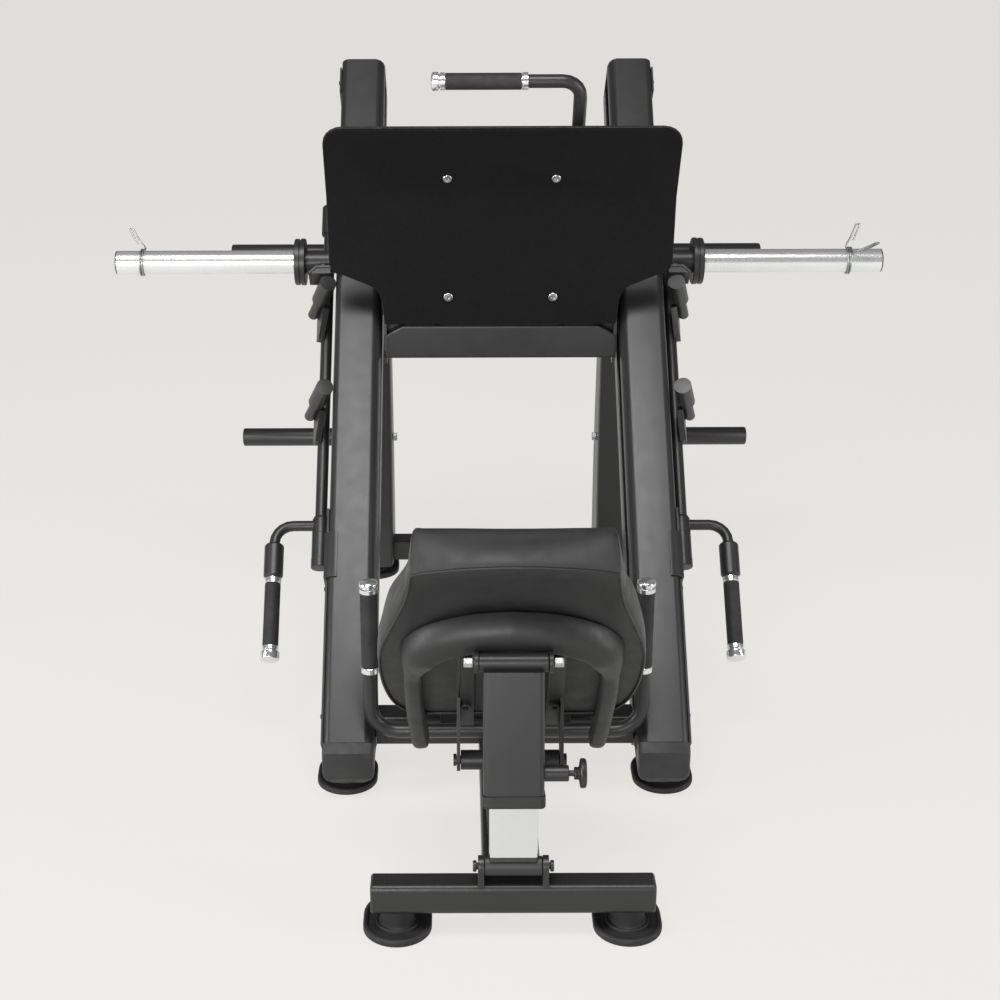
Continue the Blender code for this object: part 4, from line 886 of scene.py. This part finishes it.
bolt_black = matt_black("bolt_black_oxide", (0.012, 0.012, 0.013), 0.34)
for side_name, side in SIDES:
    for count, down in enumerate(STRIP_BOLTS):
        base = pad_point(side * STRIP_MIDDLE, down, STRIP_FACE)
        head = turned([(0, 0), (0.0105, 0), (0.0105, 0.0012), (0.0088, 0.0014), (0.0088, 0.0078),
                       (0.0078, 0.0088),
                       (0.0046, 0.0088), (0.0042, 0.0050), (0, 0.0050)], base, PAD_BACK, 32)
        make_piece(f"{side_name}_strip_bolt_{count + 1}", [head], bolt_black, "backrest", (),
                   25.0)

# ----------------------------------------------------------------------------------------------------------
# The telescoping post: a painted box tube with a moulded guide at its mouth, a chromed inner bar with a
# painted foot barrel, zinc nuts on its upper pin, and a sprung pull pin with a round black knob.

FOOT_JOINT = Vector(joints["post_swing"]["pos_m"])
POST_UP = Vector(joints["post_slide"]["axis"]).normalized()
POST_HEAD = FOOT_JOINT + POST_UP * math.hypot(0.078, 0.336)
PAINTED_UP_TO = 0.0200
BARREL_PAINT = (0.020, 0.020, 0.021)
NUT_START = 0.0665


def half_painted_bar(name):
    """Chrome on the bar and dark paint on the barrel at its foot."""
    material, tree, shader = start_material(name, CHROME, 0.12, 1.0)
    place = tree.nodes.new("ShaderNodeTexCoord")
    height = tree.nodes.new("ShaderNodeVectorMath")
    height.operation = "DOT_PRODUCT"
    height.inputs[1].default_value = tuple(POST_UP)
    tree.links.new(place.outputs["Object"], height.inputs[0])
    line = FOOT_JOINT.dot(POST_UP) + PAINTED_UP_TO
    bare = spread(tree, height.outputs["Value"], line - 0.0004, line + 0.0004, 0.0, 1.0)
    tree.links.new(two_tone(tree, bare, BARREL_PAINT, CHROME), shader.inputs["Base Color"])
    tree.links.new(bare, shader.inputs["Metallic"])
    polish = spread(tree, grain(tree, 200.0, 3.0, (1.0, 1.0, 6.0)), 0.25, 0.75, -0.04, 0.05)
    total = tree.nodes.new("ShaderNodeMath")
    tree.links.new(spread(tree, bare, 0.0, 1.0, 0.45, 0.15), total.inputs[0])
    tree.links.new(polish, total.inputs[1])
    tree.links.new(total.outputs["Value"], shader.inputs["Roughness"])
    relief(tree, shader, grain(tree, 400.0), 0.00004, 0.3)
    return material


dress("post_inner", half_painted_bar("post_bar_chrome"), 0.0008)
dress("post_collar", matt_black("post_guide_black"), 0.0008)
for side_name, side in SIDES:
    nut = hexagon(POST_HEAD + Vector((side * NUT_START, 0, 0)), (side, 0, 0), 0.0088, 0.0150)
    make_piece(f"{side_name}_pivot_nut", [nut], zinc, "backrest", (), 20.0)

start, length, radius = axis_of("pull_pin", (1, 0, 0))
knob = [(0, 0), (0.0046, 0), (0.0050, 0.0006), (0.0050, 0.0530), (0.0098, 0.0536), (0.0108, 0.0560),
        (0.0100, 0.0590),
        (0.0112, 0.0612), (0.0180, 0.0624), (radius - 0.0012, 0.0634), (radius, 0.0650), (radius, 0.0700),
        (radius - 0.0010, 0.0722), (radius - 0.0040, 0.0736), (0.0100, length), (0, length)]
knob_black = matt_black("pull_knob_black", (0.013, 0.013, 0.014), 0.36)
make_piece("pull_pin_knob", [turned(knob, start, (1, 0, 0))], knob_black, "pull_pin", ["pull_pin"])

# ----------------------------------------------------------------------------------------------------------
# The room: a plain pale floor under soft studio light, seen from in front and a little above.

FLOOR_TONE = (0.80, 0.79, 0.765)
FLOOR_BODY = (0.10, 0.099, 0.096)
FLOOR_REACH = 30.0
FLOOR_GLOW = 0.90
SKY_STRENGTH = 0.16
LOOK_DOWN = math.radians(68.5)
CAMERA_ROLL = math.radians(-0.17)


def soft_box(name, place, aim, size, power):
    light = bpy.data.lights.new(name, "AREA")
    light.shape = "RECTANGLE"
    light.size, light.size_y = size
    light.energy = power
    lamp = bpy.data.objects.new(name, light)
    bpy.context.scene.collection.objects.link(lamp)
    lamp.location = place
    lamp.rotation_euler = (Vector(aim) - Vector(place)).to_track_quat("-Z", "Y").to_euler()


floor_mesh = bmesh.new()
bmesh.ops.create_grid(floor_mesh, x_segments=4, y_segments=4, size=FLOOR_REACH)
floor_data = bpy.data.meshes.new("studio_floor")
floor_mesh.to_mesh(floor_data)
floor_mesh.free()
floor = bpy.data.objects.new("studio_floor", floor_data)
bpy.context.scene.collection.objects.link(floor)
floor.location.z = -0.0005
floor_paint, _, floor_shader = start_material("studio_floor_paint", FLOOR_BODY, 0.95)
floor_shader.inputs["Specular IOR Level"].default_value = 0.0
floor_shader.inputs["Emission Color"].default_value = (*FLOOR_TONE, 1.0)
floor_shader.inputs["Emission Strength"].default_value = FLOOR_GLOW
floor_data.materials.append(floor_paint)

world = bpy.data.worlds.new("studio")
bpy.context.scene.world = world
world.use_nodes = True
world.node_tree.nodes["Background"].inputs["Color"].default_value = (0.93, 0.93, 0.92, 1.0)
world.node_tree.nodes["Background"].inputs["Strength"].default_value = SKY_STRENGTH
soft_box("overhead", (-0.3, -1.5, 4.4), (0, 0, 0.5), (2.8, 1.4), 135)
soft_box("front", (-1.3, -4.6, 1.5), (0, 0, 0.5), (2.6, 1.6), 120)
soft_box("left_strip", (-3.4, -1.6, 1.4), (0, 0, 0.6), (0.8, 2.6), 85)
soft_box("right_strip", (3.4, -1.6, 1.4), (0, 0, 0.6), (0.8, 2.6), 60)

view = bpy.data.cameras.new("front_view")
view.lens = 63.0
view.sensor_width = 36.0
view.shift_x = 0.0428
camera = bpy.data.objects.new("front_view", view)
bpy.context.scene.collection.objects.link(camera)
camera.location = (-0.091, -3.2704, 1.75)
tilt = Matrix.Rotation(LOOK_DOWN, 4, "X")
roll = Matrix.Rotation(CAMERA_ROLL, 4, "Z")
camera.rotation_euler = (tilt @ roll).to_euler()
bpy.context.scene.camera = camera
bpy.context.scene.view_settings.view_transform = "Standard"

bpy.context.view_layer.update()
